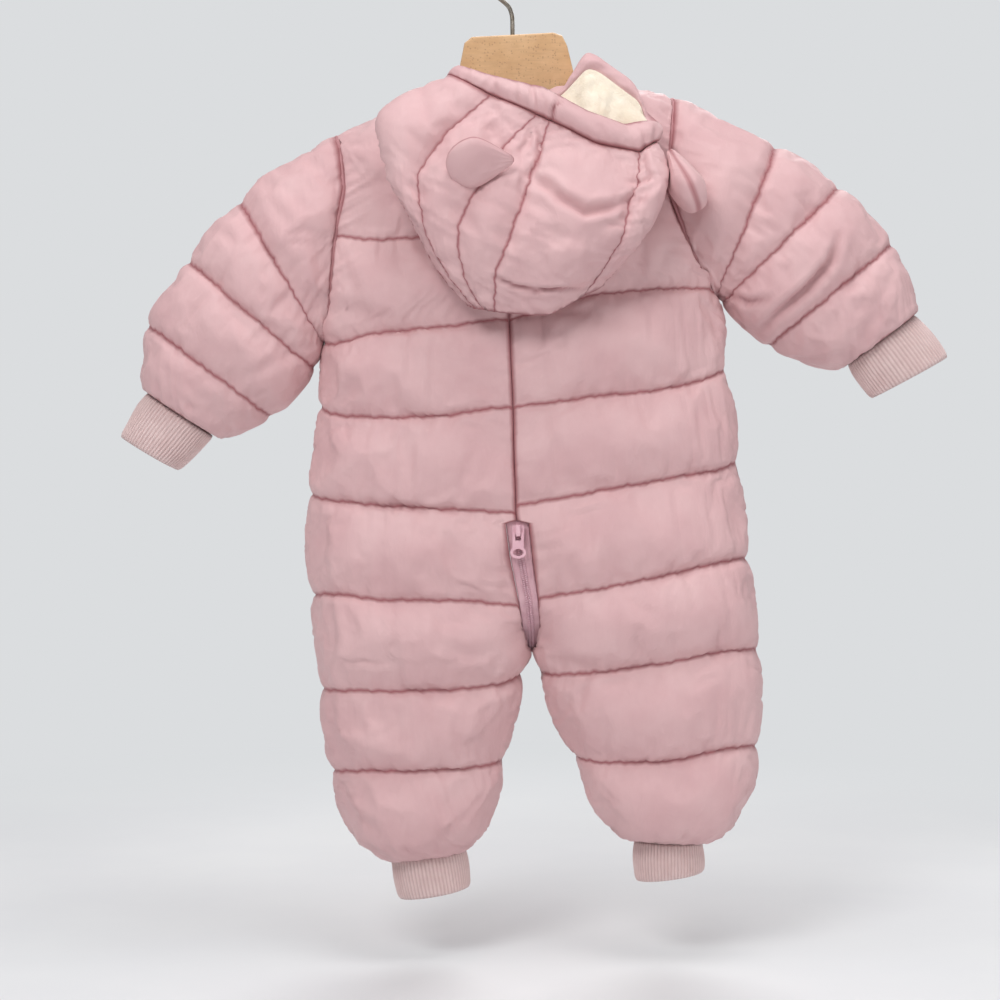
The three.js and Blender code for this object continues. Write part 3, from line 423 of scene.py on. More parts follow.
# %% Tables of the body panels
SEAM_GAP = 0.3
FLATNESS = 0.7
CROTCH_Z = -553
ZIP_TOP_Z = -451
ZIP_HALF_WIDTH = 9
ZIP_HALF_AT_CROTCH = 7
SPINE = np.array([            # z, x, y down the middle of the back
    (-100, -4.0, -22), (-122, -4.0, -25), (-225, -3.4, -36), (-294, -2.7, -40),
    (-362, 0.4, -42), (-444, 2.7, -45), (-479, 6.8, -46), (-513, 12.6, -42),
    (-530, 14.6, -33), (-543, 15.4, -20), (-551, 15.5, -8), (-553, 15.5, 0),
])
ARMHOLE = {"left": (-147, -310, 31), "right": (-117, -272, 31)}    # top, bottom, half its depth
OUTWARDS = {"left": -1, "right": 1}
NECK_SHARE = 0.7          # of a panel's top edge, from the side to where the neck starts
UNDER_Z = -500            # below this height a panel turns in under the crotch
# z at five places from the side to the middle, x at the side, depth, inner leg, neck share, seam
ROWS = {
    "left": [
        ([-147, -140, -129, -112, -122], -139, 25, None, NECK_SHARE, 1),
        ([-158, -153, -143, -130, -134], -135, 26, None, 0, 0),
        ([-190, -188, -182, -172, -170], -131, 31, None, 0, 0),
        ([-228, -231, -230, -228, -225], -138, 36, None, 0, 1),
        ([-272, -271, -267, -264, -260], -142, 39, None, 0, 0),
        ([-310, -311, -304, -300, -294], -146.5, 40, None, 0, 1),
        ([-360, -367, -370, -369, -362], -149, 42, None, 0, 1),
        ([-430, -434, -438, -441, -444], -156, 45, None, 0, 1),
        ([-437, -441, -445, -448, -450.4], -156.5, 45, None, 0, 0),
        ([-440, -444, -448, -451, -453], -156.6, 45, None, 0, 0),
        ([-510, -508, -512, -512, -516], -154, 47, None, 0, 1),
        ([-530, -531, -533, -532, -532], -152, 47, None, 0, 0),
        ([-549, -550, -551, -548, -546], -149, 46, None, 0, 0),
        ([-562, -562, -562, -558, -553], -148, 45, 8.5, 0, 0),
        ([-584, -583, -582, -579, -571], -146.6, 42, 3.4, 0, 1),
        ([-649, -646, -645, -643, -641], -138.6, 37, -11, 0, 1),
        ([-692, -694, -695, -694, -692], -124, 31, -25, 0, 0),
        ([-718, -719, -716, -714, -711], -98, 20, -38, 0, 1),
    ],
    "right": [
        ([-117, -112, -108, -106, -122], 127, 25, None, NECK_SHARE, 1),
        ([-128, -126, -123, -124, -134], 126, 26, None, 0, 0),
        ([-158, -160, -164, -168, -170], 123, 31, None, 0, 0),
        ([-192, -200, -210, -219, -225], 122, 36, None, 0, 1),
        ([-236, -237, -243, -250, -260], 139, 39, None, 0, 0),
        ([-272, -268, -270, -276, -294], 160, 40, None, 0, 1),
        ([-330, -338, -348, -354, -362], 166, 42, None, 0, 1),
        ([-403, -410, -417, -427, -438], 175.5, 45, None, 0, 1),
        ([-412, -420, -428, -438, -450.4], 176, 45, None, 0, 0),
        ([-415, -423, -431, -441, -453], 176.3, 45, None, 0, 0),
        ([-481, -482, -491, -502, -510], 182.5, 47, None, 0, 1),
        ([-502, -505, -512, -520, -530], 184.5, 47, None, 0, 0),
        ([-522, -526, -533, -540, -546], 187, 46, None, 0, 0),
        ([-537, -540, -546, -552, -553], 189, 45, 22.5, 0, 0),
        ([-553, -552, -562, -570, -571], 191.5, 42, 26, 0, 1),
        ([-630, -628, -637, -639, -637], 190.5, 37, 54, 0, 1),
        ([-680, -683, -686, -686, -684], 177, 31, 76, 0, 0),
        ([-707, -706, -704, -703, -705], 153, 20, 98, 0, 1),
    ],
}
FRONT_NECK_DROP = [[0, 0, 0, 0, -30], [0, 0, 0, -2, -28], [0, 0, 0, 0, -10]]
print("panel rows:", {name: len(rows) for name, rows in ROWS.items()})

# %% The body panels' base
PANEL_COLUMNS = 72
PANEL_STEP = 2.6          # mm between two rows of points


def along(values, t):
    """Value of a smooth curve through equally spaced values, t from 0 to 1."""
    values = np.asarray(values, float)
    last = len(values) - 1
    i = np.clip((t * last).astype(int), 0, last - 1)
    f = t * last - i
    slope_in = (values[i + 1] - values[np.maximum(i - 1, 0)]) / 2
    slope_out = (values[np.minimum(i + 2, last)] - values[i]) / 2
    rise = values[i + 1] - values[i]
    square = 3 * rise - 2 * slope_in - slope_out
    cube = slope_in + slope_out - 2 * rise
    return values[i] + f * (slope_in + f * (square + f * cube))


def spine_at(z, column):
    """x or y of the middle line at height z."""
    return np.interp(-np.asarray(z, float), -SPINE[:, 0], SPINE[:, column])


def armhole_y(name, z):
    """Distance of the armhole's edge from the middle plane at height z."""
    top, bottom, depth = ARMHOLE[name]
    reach = np.clip((z - (top + bottom) / 2) / ((top - bottom) / 2), -1, 1)
    return depth * np.sqrt(1 - reach * reach)


def angle_at(y, depth):
    """Angle round a panel's oval at which it is y from the middle plane."""
    return math.asin(min((y / depth) ** (1 / FLATNESS), 1))


def zip_half_width(z, face):
    """Half the width that the zip takes at height z; above its top on the back only a seam."""
    way = eased((ZIP_TOP_Z - z) / (ZIP_TOP_Z - CROTCH_Z))
    half = ZIP_HALF_WIDTH + (ZIP_HALF_AT_CROTCH - ZIP_HALF_WIDTH) * way
    return np.where((face < 0) & (z > ZIP_TOP_Z), SEAM_GAP / 2, half)


ZIP_ROOM_Z = (-458, -535)  # z between which a whole row comes to give way to the zip
ZIP_ROOM_FROM = 0.8        # share of a row's way to the middle from which it gives way


def row_half_width(z, face):
    """The part of the zip's half width that a whole row of points gives way to."""
    half = zip_half_width(z, face)
    if face > 0:
        return half
    start, end = ZIP_ROOM_Z
    return SEAM_GAP / 2 + (half - SEAM_GAP / 2) * eased((start - z) / (start - end))


def panel_row(row, name, face, drop):
    """Points of one row of a panel from the side to the middle; face -1 is the back."""
    heights, side, depth, leg, neck, _ = row
    heights = np.array(heights, float) + (drop if face > 0 and drop is not None else 0)
    inner_z = heights[-1]
    half = OUTWARDS[name] * row_half_width(inner_z, face)
    inner = leg if leg is not None else spine_at(inner_z, 1) + half
    start = angle_at(armhole_y(name, heights[0]), depth)
    bend = 0 if leg is not None else angle_at(-spine_at(inner_z, 2), depth)
    end = math.pi - bend if inner_z < UNDER_Z or leg is not None else math.pi / 2
    radius = (inner - side) / (math.cos(start) - math.cos(end))
    u = np.linspace(0, 1, PANEL_COLUMNS + 1)
    angle = start + (end - start) * u
    neck_angle = np.maximum((u - neck) / (1 - neck), 0) * math.pi / 2 if neck else angle
    y = depth * np.maximum(np.sin(neck_angle), 0) ** FLATNESS
    x = side + radius * (math.cos(start) - np.cos(angle))
    return np.stack([x, face * np.maximum(y, SEAM_GAP / 2), along(heights, u)], 1)


def panel_grid(name, face):
    """The base grid of one panel and the seam flag of each of its rows."""
    table = ROWS[name]
    drops = FRONT_NECK_DROP + [None] * len(table)
    rows = np.array([panel_row(row, name, face, drops[i]) for i, row in enumerate(table)])
    places, seams = [0.0], [1]
    for i in range(len(table) - 1):
        gap = np.linalg.norm(rows[i + 1] - rows[i], axis=1).mean()
        steps = max(1, round(gap / PANEL_STEP))
        places += [i + k / steps for k in range(1, steps + 1)]
        seams += [0] * (steps - 1) + [table[i + 1][5]]
    gaps = np.linalg.norm(np.diff(rows, axis=0), axis=2).mean(1)
    distance = np.concatenate([[0], np.cumsum(gaps)])
    at = np.interp(places, np.arange(len(table)), distance)
    grid = smooth_fill(distance, rows, at)
    grid[:, 0, 1] = face * np.maximum(armhole_y(name, grid[:, 0, 2]), SEAM_GAP / 2)
    z = grid[:, -1, 2]
    above = z > CROTCH_Z
    edge = spine_at(z, 1) + OUTWARDS[name] * zip_half_width(z, face)
    push = np.where(above, edge - grid[:, -1, 0], 0)
    way = np.arange(PANEL_COLUMNS + 1) / PANEL_COLUMNS
    grid[:, :, 0] += push[:, None] * eased((way - ZIP_ROOM_FROM) / (1 - ZIP_ROOM_FROM))
    grid[above, -1, 1] = (-face * spine_at(z, 2))[above]
    return grid, seams


PANELS = {}
for name in ("left", "right"):
    for label, face in (("back", -1), ("front", 1)):
        PANELS[f"{label}_{name}"] = (name, face, *panel_grid(name, face))
print({key: value[2].shape for key, value in PANELS.items()})

# %% Puffing the body panels
def panel_edges_flat(grid, name):
    """Keeps a panel's thickness square to the edges that meet a neighbour."""
    def flatten(normals):
        normals = normals.copy()
        normals[[0, -1], :, 2] = 0
        armhole = grid[:, 0, 2] >= ARMHOLE[name][1]
        normals[armhole, 0] *= [0, 1, 0]
        middle = grid[:, -1, 2] >= CROTCH_Z
        normals[middle, -1, 0] = 0
        return unit(normals)
    return flatten


def held_points(shape, seams, edge_columns=True):
    """Points that the thread pins: the sewn rows and the panel's own edges."""
    held = np.zeros(shape[:2], bool)
    held[[k for k, seam in enumerate(seams) if seam]] = True
    held[[0, -1]] = True
    if edge_columns:
        held[:, [0, -1]] = True
    return held


sewn_rows = {}
for number, (key, (name, face, grid, seams)) in enumerate(PANELS.items()):
    sewn_rows[key] = seams
    normals = grid_normals(grid, False)
    middle = normals[len(grid) // 2, PANEL_COLUMNS // 2, 1]
    normals = normals if middle * face > 0 else -normals
    edges = [1] + [0] * (PANEL_COLUMNS - 1) + [1]
    outer, sewn = padded_outside(
        grid, seams, edges, column_floor=PUFF_EDGE, normals=normals,
        flat_to=panel_edges_flat(grid, name), seed=10 + number,
    )
    outer = blown_up(outer, held_points(outer.shape, seams), False)
    PANELS[key] = (outer, grid, sewn)
print("panels puffed:", list(PANELS))

# %% [markdown]
# The sleeves are quilted tubes. Each is a row of rings from the armhole to the hem, sewn through at
# three cross seams. A ring is an oval between its highest and lowest point as seen from behind.

# %% Sleeves
SLEEVE_COLUMNS = 150
ARMHOLE_GAP = 1.5
SLEEVES = {               # top x, z, bottom x, z, half depth
    "left": [
        (-213.6, -200, -152.5, -305, 36), (-254, -247, -162, -327, 36),
        (-286, -296, -196, -364, 33), (-291, -348, -237, -383, 23),
    ],
    "right": [
        (207, -157, 163, -268, 36), (257, -189, 171, -273, 36),
        (299, -233, 208, -307, 33), (321, -286, 268, -325, 23),
    ],
}


def ring_points(top_x, top_z, bottom_x, bottom_z, depth, columns):
    """Points of an oval ring between its highest and its lowest point."""
    angle = np.linspace(0, 2 * np.pi, columns, endpoint=False)
    high, low = np.array([top_x, 0, top_z]), np.array([bottom_x, 0, bottom_z])
    points = (high + low) / 2 + np.cos(angle)[:, None] * (high - low) / 2
    points[:, 1] = -depth * np.sin(angle)
    return points


def to_armhole(name, points):
    """Moves points sideways to the armhole, just clear of the body panels."""
    heights = [-row[0][0] for row in ROWS[name]]
    sides = [row[1] for row in ROWS[name]]
    points[:, 0] = np.interp(-points[:, 2], heights, sides) + OUTWARDS[name] * ARMHOLE_GAP
    return points


def rings_filled(rings, step, flags):
    """A fine grid through rings, and the seam flag of each row."""
    rings = np.asarray(rings)
    gaps = np.linalg.norm(np.diff(rings, axis=0), axis=2).mean(1)
    distance = np.concatenate([[0], np.cumsum(gaps)])
    at, seams = [0.0], [flags[0]]
    for i, gap in enumerate(gaps):
        steps = max(2, round(gap / step))
        at += [distance[i] + gap * k / steps for k in range(1, steps + 1)]
        seams += [0] * (steps - 1) + [flags[i + 1]]
    return smooth_fill(distance, rings, at), seams


PIPING = 2.1              # radius of the folded cloth in the armhole and shoulder seams
SLEEVE_EDGE_PUFF = 0.4    # of the full puff, along a sleeve's upper and lower edge
SLEEVE_SHAPES, piping_rings = {}, {}
round_sleeve = np.linspace(0, 2 * np.pi, SLEEVE_COLUMNS, endpoint=False)
sleeve_fullness = SLEEVE_EDGE_PUFF + (1 - SLEEVE_EDGE_PUFF) * np.abs(np.sin(round_sleeve))
for number, (name, table) in enumerate(SLEEVES.items()):
    top, bottom, depth = ARMHOLE[name]
    armhole = ring_points(0, top, 0, bottom + WALL_MM + SEAM_GAP, depth, SLEEVE_COLUMNS)
    rings = [to_armhole(name, armhole)] + [ring_points(*row, SLEEVE_COLUMNS) for row in table]
    grid, seams = rings_filled(rings, PANEL_STEP, [1] * len(rings))
    hem = table[-1]
    hem_normal = unit(np.array([hem[3] - hem[1], 0, hem[0] - hem[2]], float))

    def sleeve_edges(normals):
        normals = normals.copy()
        normals[0, :, 0] = 0
        normals[-1] -= (normals[-1] @ hem_normal)[:, None] * hem_normal
        return unit(normals)

    outer, sewn = padded_outside(
        grid, seams, [1] + [0] * (SLEEVE_COLUMNS - 1), row_floor=0.1, column_floor=1,
        closed=True, normals=grid_normals(grid, True), flat_to=sleeve_edges,
        fullness=sleeve_fullness, seed=30 + number,
    )
    outer[0] = to_armhole(name, outer[0])
    outer = blown_up(outer, held_points(outer.shape, seams, False), True)
    piping_rings[name] = (outer[0] + grid[0]) / 2 + [OUTWARDS[name] * -ARMHOLE_GAP / 2, 0, 0]
    SLEEVE_SHAPES[f"sleeve_{name}"] = (outer, grid, sewn)
    sewn_rows[f"sleeve_{name}"] = seams
print({key: value[0].shape for key, value in SLEEVE_SHAPES.items()})

# %% [markdown]
# The cuffs are rib knit, which stands in fine round cords that run towards the hand. About sixty
# go round a cuff. Knit has no seam lines to puff, so the ribs are a rounded wave on the ring, and the
# ring swells a little between its two ends.

# %% Cuffs
CUFF_WALL = 1.6
RIB_HEIGHT = 0.9
RIBS = 62
POINTS_A_RIB = 6
CUFF_ROWS = 16
CUFF_SWELL = 0.9          # mm that the middle of a cuff stands out
CUFF_WAVE, CUFF_WAVE_LENGTH = 0.5, 40       # mm, the soft unevenness of the knit
CUFF_EDGE = 9             # one part in this many of a cuff rounds over at each end
RIB_POWER = 0.7           # below 1 a rib is rounder on top and its valley narrower
CUFFS = {                 # top x, z, bottom x, z, half depth, at the root and at the end
    "wrist_cuff_left": [(-289.6, -349.4, -240.6, -382.4, 21), (-311, -384.5, -268, -410, 21)],
    "wrist_cuff_right": [(320.2, -287.5, 270.2, -324.6, 21), (346.5, -321, 289.5, -352, 21)],
    "ankle_cuff_left": [(-95, -720, -39, -713.5, 20), (-88, -752, -34.5, -743, 20)],
    "ankle_cuff_right": [(150, -707.4, 100, -705.9, 20), (150.5, -731, 100.5, -738, 20)],
}
cuff_shapes = {}
for number, (name, (root, end)) in enumerate(CUFFS.items()):
    columns = RIBS * POINTS_A_RIB
    rings = [ring_points(*row, columns) for row in (root, end)]
    t = np.linspace(0, 1, CUFF_ROWS)[:, None, None]
    grid = rings[0] * (1 - t) + rings[1] * t
    normals = grid_normals(grid, True)
    turn = np.arange(columns) * 2 * np.pi * RIBS / columns
    rib = RIB_HEIGHT * (0.5 + 0.5 * np.cos(turn)) ** RIB_POWER
    down = t[:, :, 0]
    uneven = CUFF_WAVE * waves(grid, 60 + number, CUFF_WAVE_LENGTH)
    swell = CUFF_SWELL * np.sin(np.pi * down) + uneven
    rolled = np.minimum(1, np.minimum(down, 1 - down) * CUFF_EDGE + 0.25)
    wall = CUFF_WALL * (0.55 + 0.45 * rolled)
    height = wall + rib * rolled + swell * np.minimum(1, down * 4)
    outer = grid + normals * height[..., None]
    # the rib valleys become the seam number, so shade is painted into them
    valley = np.broadcast_to(1 - rib / RIB_HEIGHT, height.shape)
    cuff_shapes[name] = (outer, grid, valley)
print("ribs a cuff:", RIBS)

# %% [markdown]
# The hood hangs down the back with its mouth up, because the hanger pulls the neck open. It is a bag
# of padded strips between curved seams. Each curve of the table runs from the mouth to the bottom
# fold; 'reach' says whether it lies on the viewer's side or against the back.

# %% The hood's base
HOOD = [                  # x, z at six places, x, z of the rim, reach, seam, columns to the next
    ([(-51, -109), (-104, -146), (-94, -184), (-75, -222), (-56, -257), (-33, -284)],
     (-41, -102), 0, 1, 3),
    ([(-17, -127), (-52, -161), (-72, -196), (-66, -230), (-50, -260), (-28, -287)],
     (-20, -110), -0.75, 1, 3),
    ([(19, -143), (-7, -169), (-28, -203), (-42, -234), (-38, -261), (-22, -288)],
     (14, -119), -0.95, 1, 2),
    ([(27, -147), (18, -176), (10, -204), (-3, -241), (-13, -266), (-15, -290)],
     (22, -121), -1, 1, 3),
    ([(63, -166), (58, -198), (50, -221), (39, -248), (30, -271), (25, -291)],
     (59, -141), -1, 0, 3),
    ([(97, -171), (95, -196), (88, -213), (84, -232), (73, -251), (54, -277)],
     (84, -149), -0.8, 1, 3),
    ([(110, -160), (116, -181), (111, -205), (98, -229), (85, -248), (69, -268)],
     (108, -144), 0, 1, 2),
    ([(98, -133), (104, -172), (98, -202), (86, -228), (72, -250), (56, -270)],
     (95, -110), 1, 0, 2),
    ([(60, -106), (68, -150), (66, -190), (58, -226), (50, -253), (38, -277)],
     (58, -84), 0.95, 1, 2),
    ([(36, -128), (38, -156), (34, -192), (28, -228), (22, -258), (17, -282)],
     (37, -119), 1, 0, 2),
    ([(0, -130), (-8, -156), (-8, -192), (-10, -228), (-10, -260), (-8, -284)],
     (0, -121), 1, 1, 2),
    ([(-34, -118), (-70, -152), (-62, -190), (-52, -226), (-40, -259), (-24, -284)],
     (-32, -108), 0.75, 0, 2),
]
HOOD_DEPTH = [            # middle plane, reach to the viewer, reach to the back
    (-52, 24, 8.5), (-64, 19, 7), (-69, 22, 7), (-70, 24, 4), (-69, 19, 4), (-64, 8, 4),
]
HOOD_RIM_DEPTH = (-49, 24, 7.5)
HOOD_FINE = 8             # fine columns in one of the solid's
HOOD_STEP = 2.6           # mm between two rows of points
RIM_STEP = 2.0
HOOD_SEAM_GAP = 1.0
HOOD_PUFF = 9
HOOD_ROUNDS = 8           # rounds of easing at the corners of a ring
HOOD_CAP = 4.0            # mm that a point may move in the simulation
RIM_ROLL = 3.6            # mm that the rim's edge swells into the mouth
RIM_ROLL_ROWS = 6         # rows of points of that swelling
RIM_SHARE = 0.34          # the rim's casing is stuffed rounder than the channels


def hood_ring(spots, depth):
    """One ring of the hood. Next to a side fold the layers part quickly, as on an oval."""
    middle, near, far = depth
    ring = []
    for c, curve in enumerate(HOOD):
        following = (c + 1) % len(HOOD)
        reach, reach_next = curve[2], HOOD[following][2]
        y, y_next = (middle + r * (near if r < 0 else far) for r in (reach, reach_next))
        start = np.array([spots[c][0], y, spots[c][1]])
        end = np.array([spots[following][0], y_next, spots[following][1]])
        for k in range(curve[4] * HOOD_FINE):
            f = k / (curve[4] * HOOD_FINE)
            leaving = math.sqrt(1 - (1 - f) ** 2) if reach == 0 else f
            share = 1 - math.sqrt(1 - f * f) if reach_next == 0 else leaving
            point = start + (end - start) * f
            point[1] = start[1] + (end[1] - start[1]) * share
            ring.append(point)
    return np.array(ring)


def rounded(ring):
    """A ring whose corners between the curves are eased, with its own points kept near."""
    for _ in range(HOOD_ROUNDS):
        ring = (np.roll(ring, 1, 0) + 2 * ring + np.roll(ring, -1, 0)) / 4
    return ring


hood_rings = [rounded(hood_ring([curve[0][p] for curve in HOOD], depth))
              for p, depth in enumerate(HOOD_DEPTH)]
rim_ring = rounded(hood_ring([curve[1] for curve in HOOD], HOOD_RIM_DEPTH))
rim_foot = hood_rings[0] + unit(rim_ring - hood_rings[0]) * HOOD_SEAM_GAP
hood_grid, hood_row_seams = rings_filled(hood_rings, HOOD_STEP, [1, 0, 0, 0, 0, 1])
rim_grid, rim_seams = rings_filled([rim_ring, rim_foot], RIM_STEP, [1, 1])
hood_column_seams = []
for curve in HOOD:
    hood_column_seams += [curve[3]] + [0] * (curve[4] * HOOD_FINE - 1)
print("hood grid:", hood_grid.shape, "rim grid:", rim_grid.shape)

# %% Puffing the hood
shell_normals, rim_normals = grid_normals(hood_grid, True), grid_normals(rim_grid, True)
shared = unit(shell_normals[0] + rim_normals[-1])
shell_normals[0], rim_normals[-1] = shared, shared
hood_outer, hood_sewn = padded_outside(
    hood_grid, hood_row_seams, hood_column_seams, row_floor=0.3, closed=True,
    normals=shell_normals, puff=HOOD_PUFF, seed=41,
)
hood_held = held_points(hood_grid.shape, hood_row_seams, False)
hood_held[:, [k for k, seam in enumerate(hood_column_seams) if seam]] = True
hood_outer = blown_up(hood_outer, hood_held, True, cap=HOOD_CAP)
rim_outer, rim_sewn = padded_outside(
    rim_grid, rim_seams, [1] + [0] * (rim_grid.shape[1] - 1), row_floor=0.2, column_floor=1,
    closed=True, normals=rim_normals, share=RIM_SHARE, seed=43,
)
print("hood puffed")

# %% [markdown]
# A few folds belong to this suit alone and show in the photo: the deep fold across the right sleeve,
# the soft fold over the hood, the pinch at the rim's crown and the soft ridges in the lining. They
# are pressed in one by one. Each is a line over the photo, a width and a depth; only cloth that faces
# the viewer takes it. The deep ones also take a share of the seam's painted shade.

# %% The suit's own folds
FOLDS = {                 # line in photo pixels, width mm, depth mm, share of the seam's shadow
    "sleeve_right": [
        ([(838, 237), (829, 264), (806, 291), (778, 314), (762, 330)], 3.6, 7.0, 0.45),
        ([(716, 296), (735, 306), (752, 330)], 2.6, 3.6, 0.4),
        ([(726, 290), (748, 302), (768, 300)], 2.4, 3.4, 0.5),
        ([(800, 190), (812, 215), (806, 240)], 5, 1.8),
        ([(870, 262), (846, 290), (838, 318)], 4.5, 2.0),
    ],
    "sleeve_left": [
        ([(196, 412), (189, 408), (183, 398)], 2.6, 2.0),
        ([(155, 380), (157, 395)], 2.2, 1.8),
        ([(262, 246), (283, 262), (302, 290)], 5, 1.6),
        ([(214, 300), (240, 318), (262, 345)], 5, 1.5),
        ([(236, 380), (262, 372), (290, 352)], 4, 1.6),
    ],
    "hood_shell": [
        ([(531, 178), (560, 203), (584, 217), (611, 212), (634, 202)], 3.8, 5.0, 0.3),
        ([(470, 118), (492, 132), (500, 150)], 4, 1.8),
        ([(548, 236), (575, 245), (600, 240)], 5, 1.6),
        ([(463, 222), (478, 238), (486, 262)], 4.5, 1.6),
        ([(494, 279), (514, 288), (536, 293), (562, 292), (586, 289)], 1.3, 3.4, 0.9),
        ([(536, 128), (540, 150), (536, 166), (530, 180)], 1.8, 3.2, 0.5),
        ([(528, 172), (521, 190), (524, 214)], 2.4, 2.0),
        ([(534, 122), (529, 142), (522, 158)], 2.6, 2.2),
        ([(544, 136), (536, 152), (526, 164)], 2.4, 1.8),
        ([(498, 100), (488, 118), (492, 138)], 3.4, 1.6),
        ([(640, 150), (646, 178), (638, 205)], 2.8, 2.2),
        ([(628, 186), (642, 182), (655, 178)], 2.4, 2.0),
        ([(634, 216), (644, 198), (655, 184)], 2.6, 2.0),
        ([(596, 236), (622, 222), (640, 206)], 3.6, 1.4),
    ],
    "hood_rim": [
        ([(562, 106), (553, 113), (550, 127)], 1.2, 2.6, 0.9),
        ([(530, 90), (533, 100), (534, 112)], 2.0, 1.9),
        ([(538, 94), (541, 104), (541, 116)], 1.8, 1.9),
        ([(546, 98), (545, 110), (543, 120)], 1.8, 1.6),
        ([(492, 84), (495, 92), (493, 100)], 2.2, 1.6),
        ([(516, 92), (514, 100), (516, 108)], 2.0, 1.2),
        ([(592, 126), (600, 136), (602, 148)], 3.0, 1.4),
        ([(640, 128), (645, 142), (644, 158)], 2.2, 1.8),
        ([(656, 124), (655, 140), (650, 154)], 2.0, 1.8),
    ],
    "hood_lining": [
        ([(588, 72), (586, 90), (583, 108)], 3.5, -3.0),
        ([(606, 80), (604, 100), (600, 120)], 3.5, -3.0),
        ([(575, 95), (586, 78), (600, 74)], 3.0, -1.6),
    ],
    "back_left": [
        ([(382, 845), (388, 850), (394, 858)], 2.4, 1.8),
        ([(402, 847), (410, 857)], 2.2, 1.6),
        ([(432, 846), (436, 855)], 2.2, 1.6),
        ([(338, 245), (352, 290), (346, 330)], 6, 2.0),
        ([(500, 540), (508, 575), (512, 610)], 4.5, 2.0),
        ([(440, 640), (470, 655), (500, 650)], 5, 1.6),
    ],
    "back_right": [
        ([(686, 832), (684, 842)], 2.2, 1.8),
        ([(655, 836), (658, 845)], 2.2, 1.5),
        ([(706, 300), (718, 318), (722, 342)], 3.5, 2.2),
        ([(548, 560), (556, 590), (552, 625)], 4.5, 2.0),
        ([(556, 655), (580, 668), (610, 660)], 5, 1.6),
        ([(560, 300), (600, 318), (650, 322)], 7, 1.2),
    ],
}
print("folds:", sum(len(lines) for lines in FOLDS.values()))

# %% Pressing the folds in
FOLD_DEPTH_SHARE = 0.7    # of a piece's reach to the viewer, how far off its folds are taken to lie
FOLD_END = 0.04           # of a fold's length, where its ends have faded
FOLD_END_POWER = 0.6
FOLD_RIDGE = 0.32         # of the trough's depth, the height of the ridges beside it
FOLD_RIDGE_AT = 2.1       # widths from the trough to a ridge
FOLD_FACING = 2           # how soon cloth that turns away stops taking the fold
THINNEST_PRESSED = 1.6    # mm of cloth that a fold leaves


def press_fold(outer, line, width, depth, normals):
    """Presses a soft trough with low ridges into cloth that faces the viewer.

    Also gives how near each point is to the trough, from 0 to 1."""
    flat = outer.reshape(-1, 3)
    reach = flat[:, 1].min() * FOLD_DEPTH_SHARE
    spots = np.stack(seen_at(*np.array(line, float).T, reach), 1)
    away = np.full(len(flat), np.inf)
    end_fade = np.zeros(len(flat))
    lengths = np.linalg.norm(np.diff(spots, axis=0), axis=1)
    total, gone = lengths.sum(), 0.0
    for a, b, length in zip(spots[:-1], spots[1:], lengths):
        step = (b - a) / length
        t = np.clip((flat[:, [0, 2]] - a) @ step, 0, length)
        d = np.linalg.norm(flat[:, [0, 2]] - a - t[:, None] * step, axis=1)
        nearer = d < away
        away[nearer] = d[nearer]
        share = np.clip((gone + t[nearer]) / total, FOLD_END, 1 - FOLD_END)
        end_fade[nearer] = np.sin(np.pi * share) ** FOLD_END_POWER
        gone += length
    near = away / width
    shape = -np.exp(-near ** 2) + FOLD_RIDGE * np.exp(-(near - FOLD_RIDGE_AT) ** 2)
    facing = np.clip(-normals.reshape(-1, 3)[:, 1] * FOLD_FACING - 0.1, 0, 1)
    shift = depth * shape * end_fade * facing
    nearness = (np.exp(-near ** 2) * end_fade * facing).reshape(outer.shape[:2])
    return outer + (normals.reshape(-1, 3) * shift[:, None]).reshape(outer.shape), nearness


def with_folds(name, outer, base, closed):
    """The outside of a piece with its folds pressed in, and the shadow that they take."""
    normals = grid_normals(outer, closed)
    if (normals * (outer - base)).sum() < 0:
        normals = -normals
    fold_shade = np.zeros(outer.shape[:2])
    for line, width, depth, *shadow in FOLDS.get(name, []):
        outer, nearness = press_fold(outer, line, width, depth, normals)
        # the deep folds take a share of the seam's painted shade
        fold_shade = np.maximum(fold_shade, (shadow[0] if shadow else 0) * nearness)
    thin = np.linalg.norm(outer - base, axis=2, keepdims=True)
    pressed = base + (outer - base) * np.maximum(1, THINNEST_PRESSED / np.maximum(thin, 1e-3))
    return pressed, fold_shade


print("pieces with folds:", list(FOLDS))

# %% [markdown]
# Now the padded pieces are built as walls. Two small forms join them. The cloth of each armhole and
# shoulder seam is folded over and shows as a soft cord. The rim's casing is stuffed rounder than the
# channels, so its edge swells into the hood's mouth.

# %% Building the padded pieces
CORD_SIDES = 10
CORD_UNEVEN, CORD_WAVE = 0.15, 8            # share of its radius, and mm along the cord
# the cord takes this share of the seams' painted shade
CORD_SHADE = 0.7           # the cord's seam number
RIM_GATHER, RIM_GATHER_WAVE = 0.25, 9       # share of the roll, and mm along the rim


def piping(name, ring, closed=True):
    """A soft cord of folded cloth round a closed ring or along an open line."""
    if closed:
        ahead = unit(np.roll(ring, -1, 0) - np.roll(ring, 1, 0))
        side = unit(np.cross(ahead, [1.0, 0.0, 0.0]))
    else:
        ahead = unit(np.gradient(ring, axis=0))
        side = unit(np.cross(ahead, [0.0, 1.0, 0.0]))
    up = np.cross(side, ahead)
    angle = (np.arange(CORD_SIDES) * 2 * np.pi / CORD_SIDES)[None, :, None]
    size = PIPING * (1 + CORD_UNEVEN * waves(ring, 5, CORD_WAVE))[:, None, None]
    points = ring[:, None] + size * (np.cos(angle) * side[:, None] + np.sin(angle) * up[:, None])
    points = points.reshape(-1, 3)
    faces = rod_faces(len(ring), CORD_SIDES, joined=closed)
    return mesh_object(name, points, faces, np.full(len(points), CORD_SHADE))


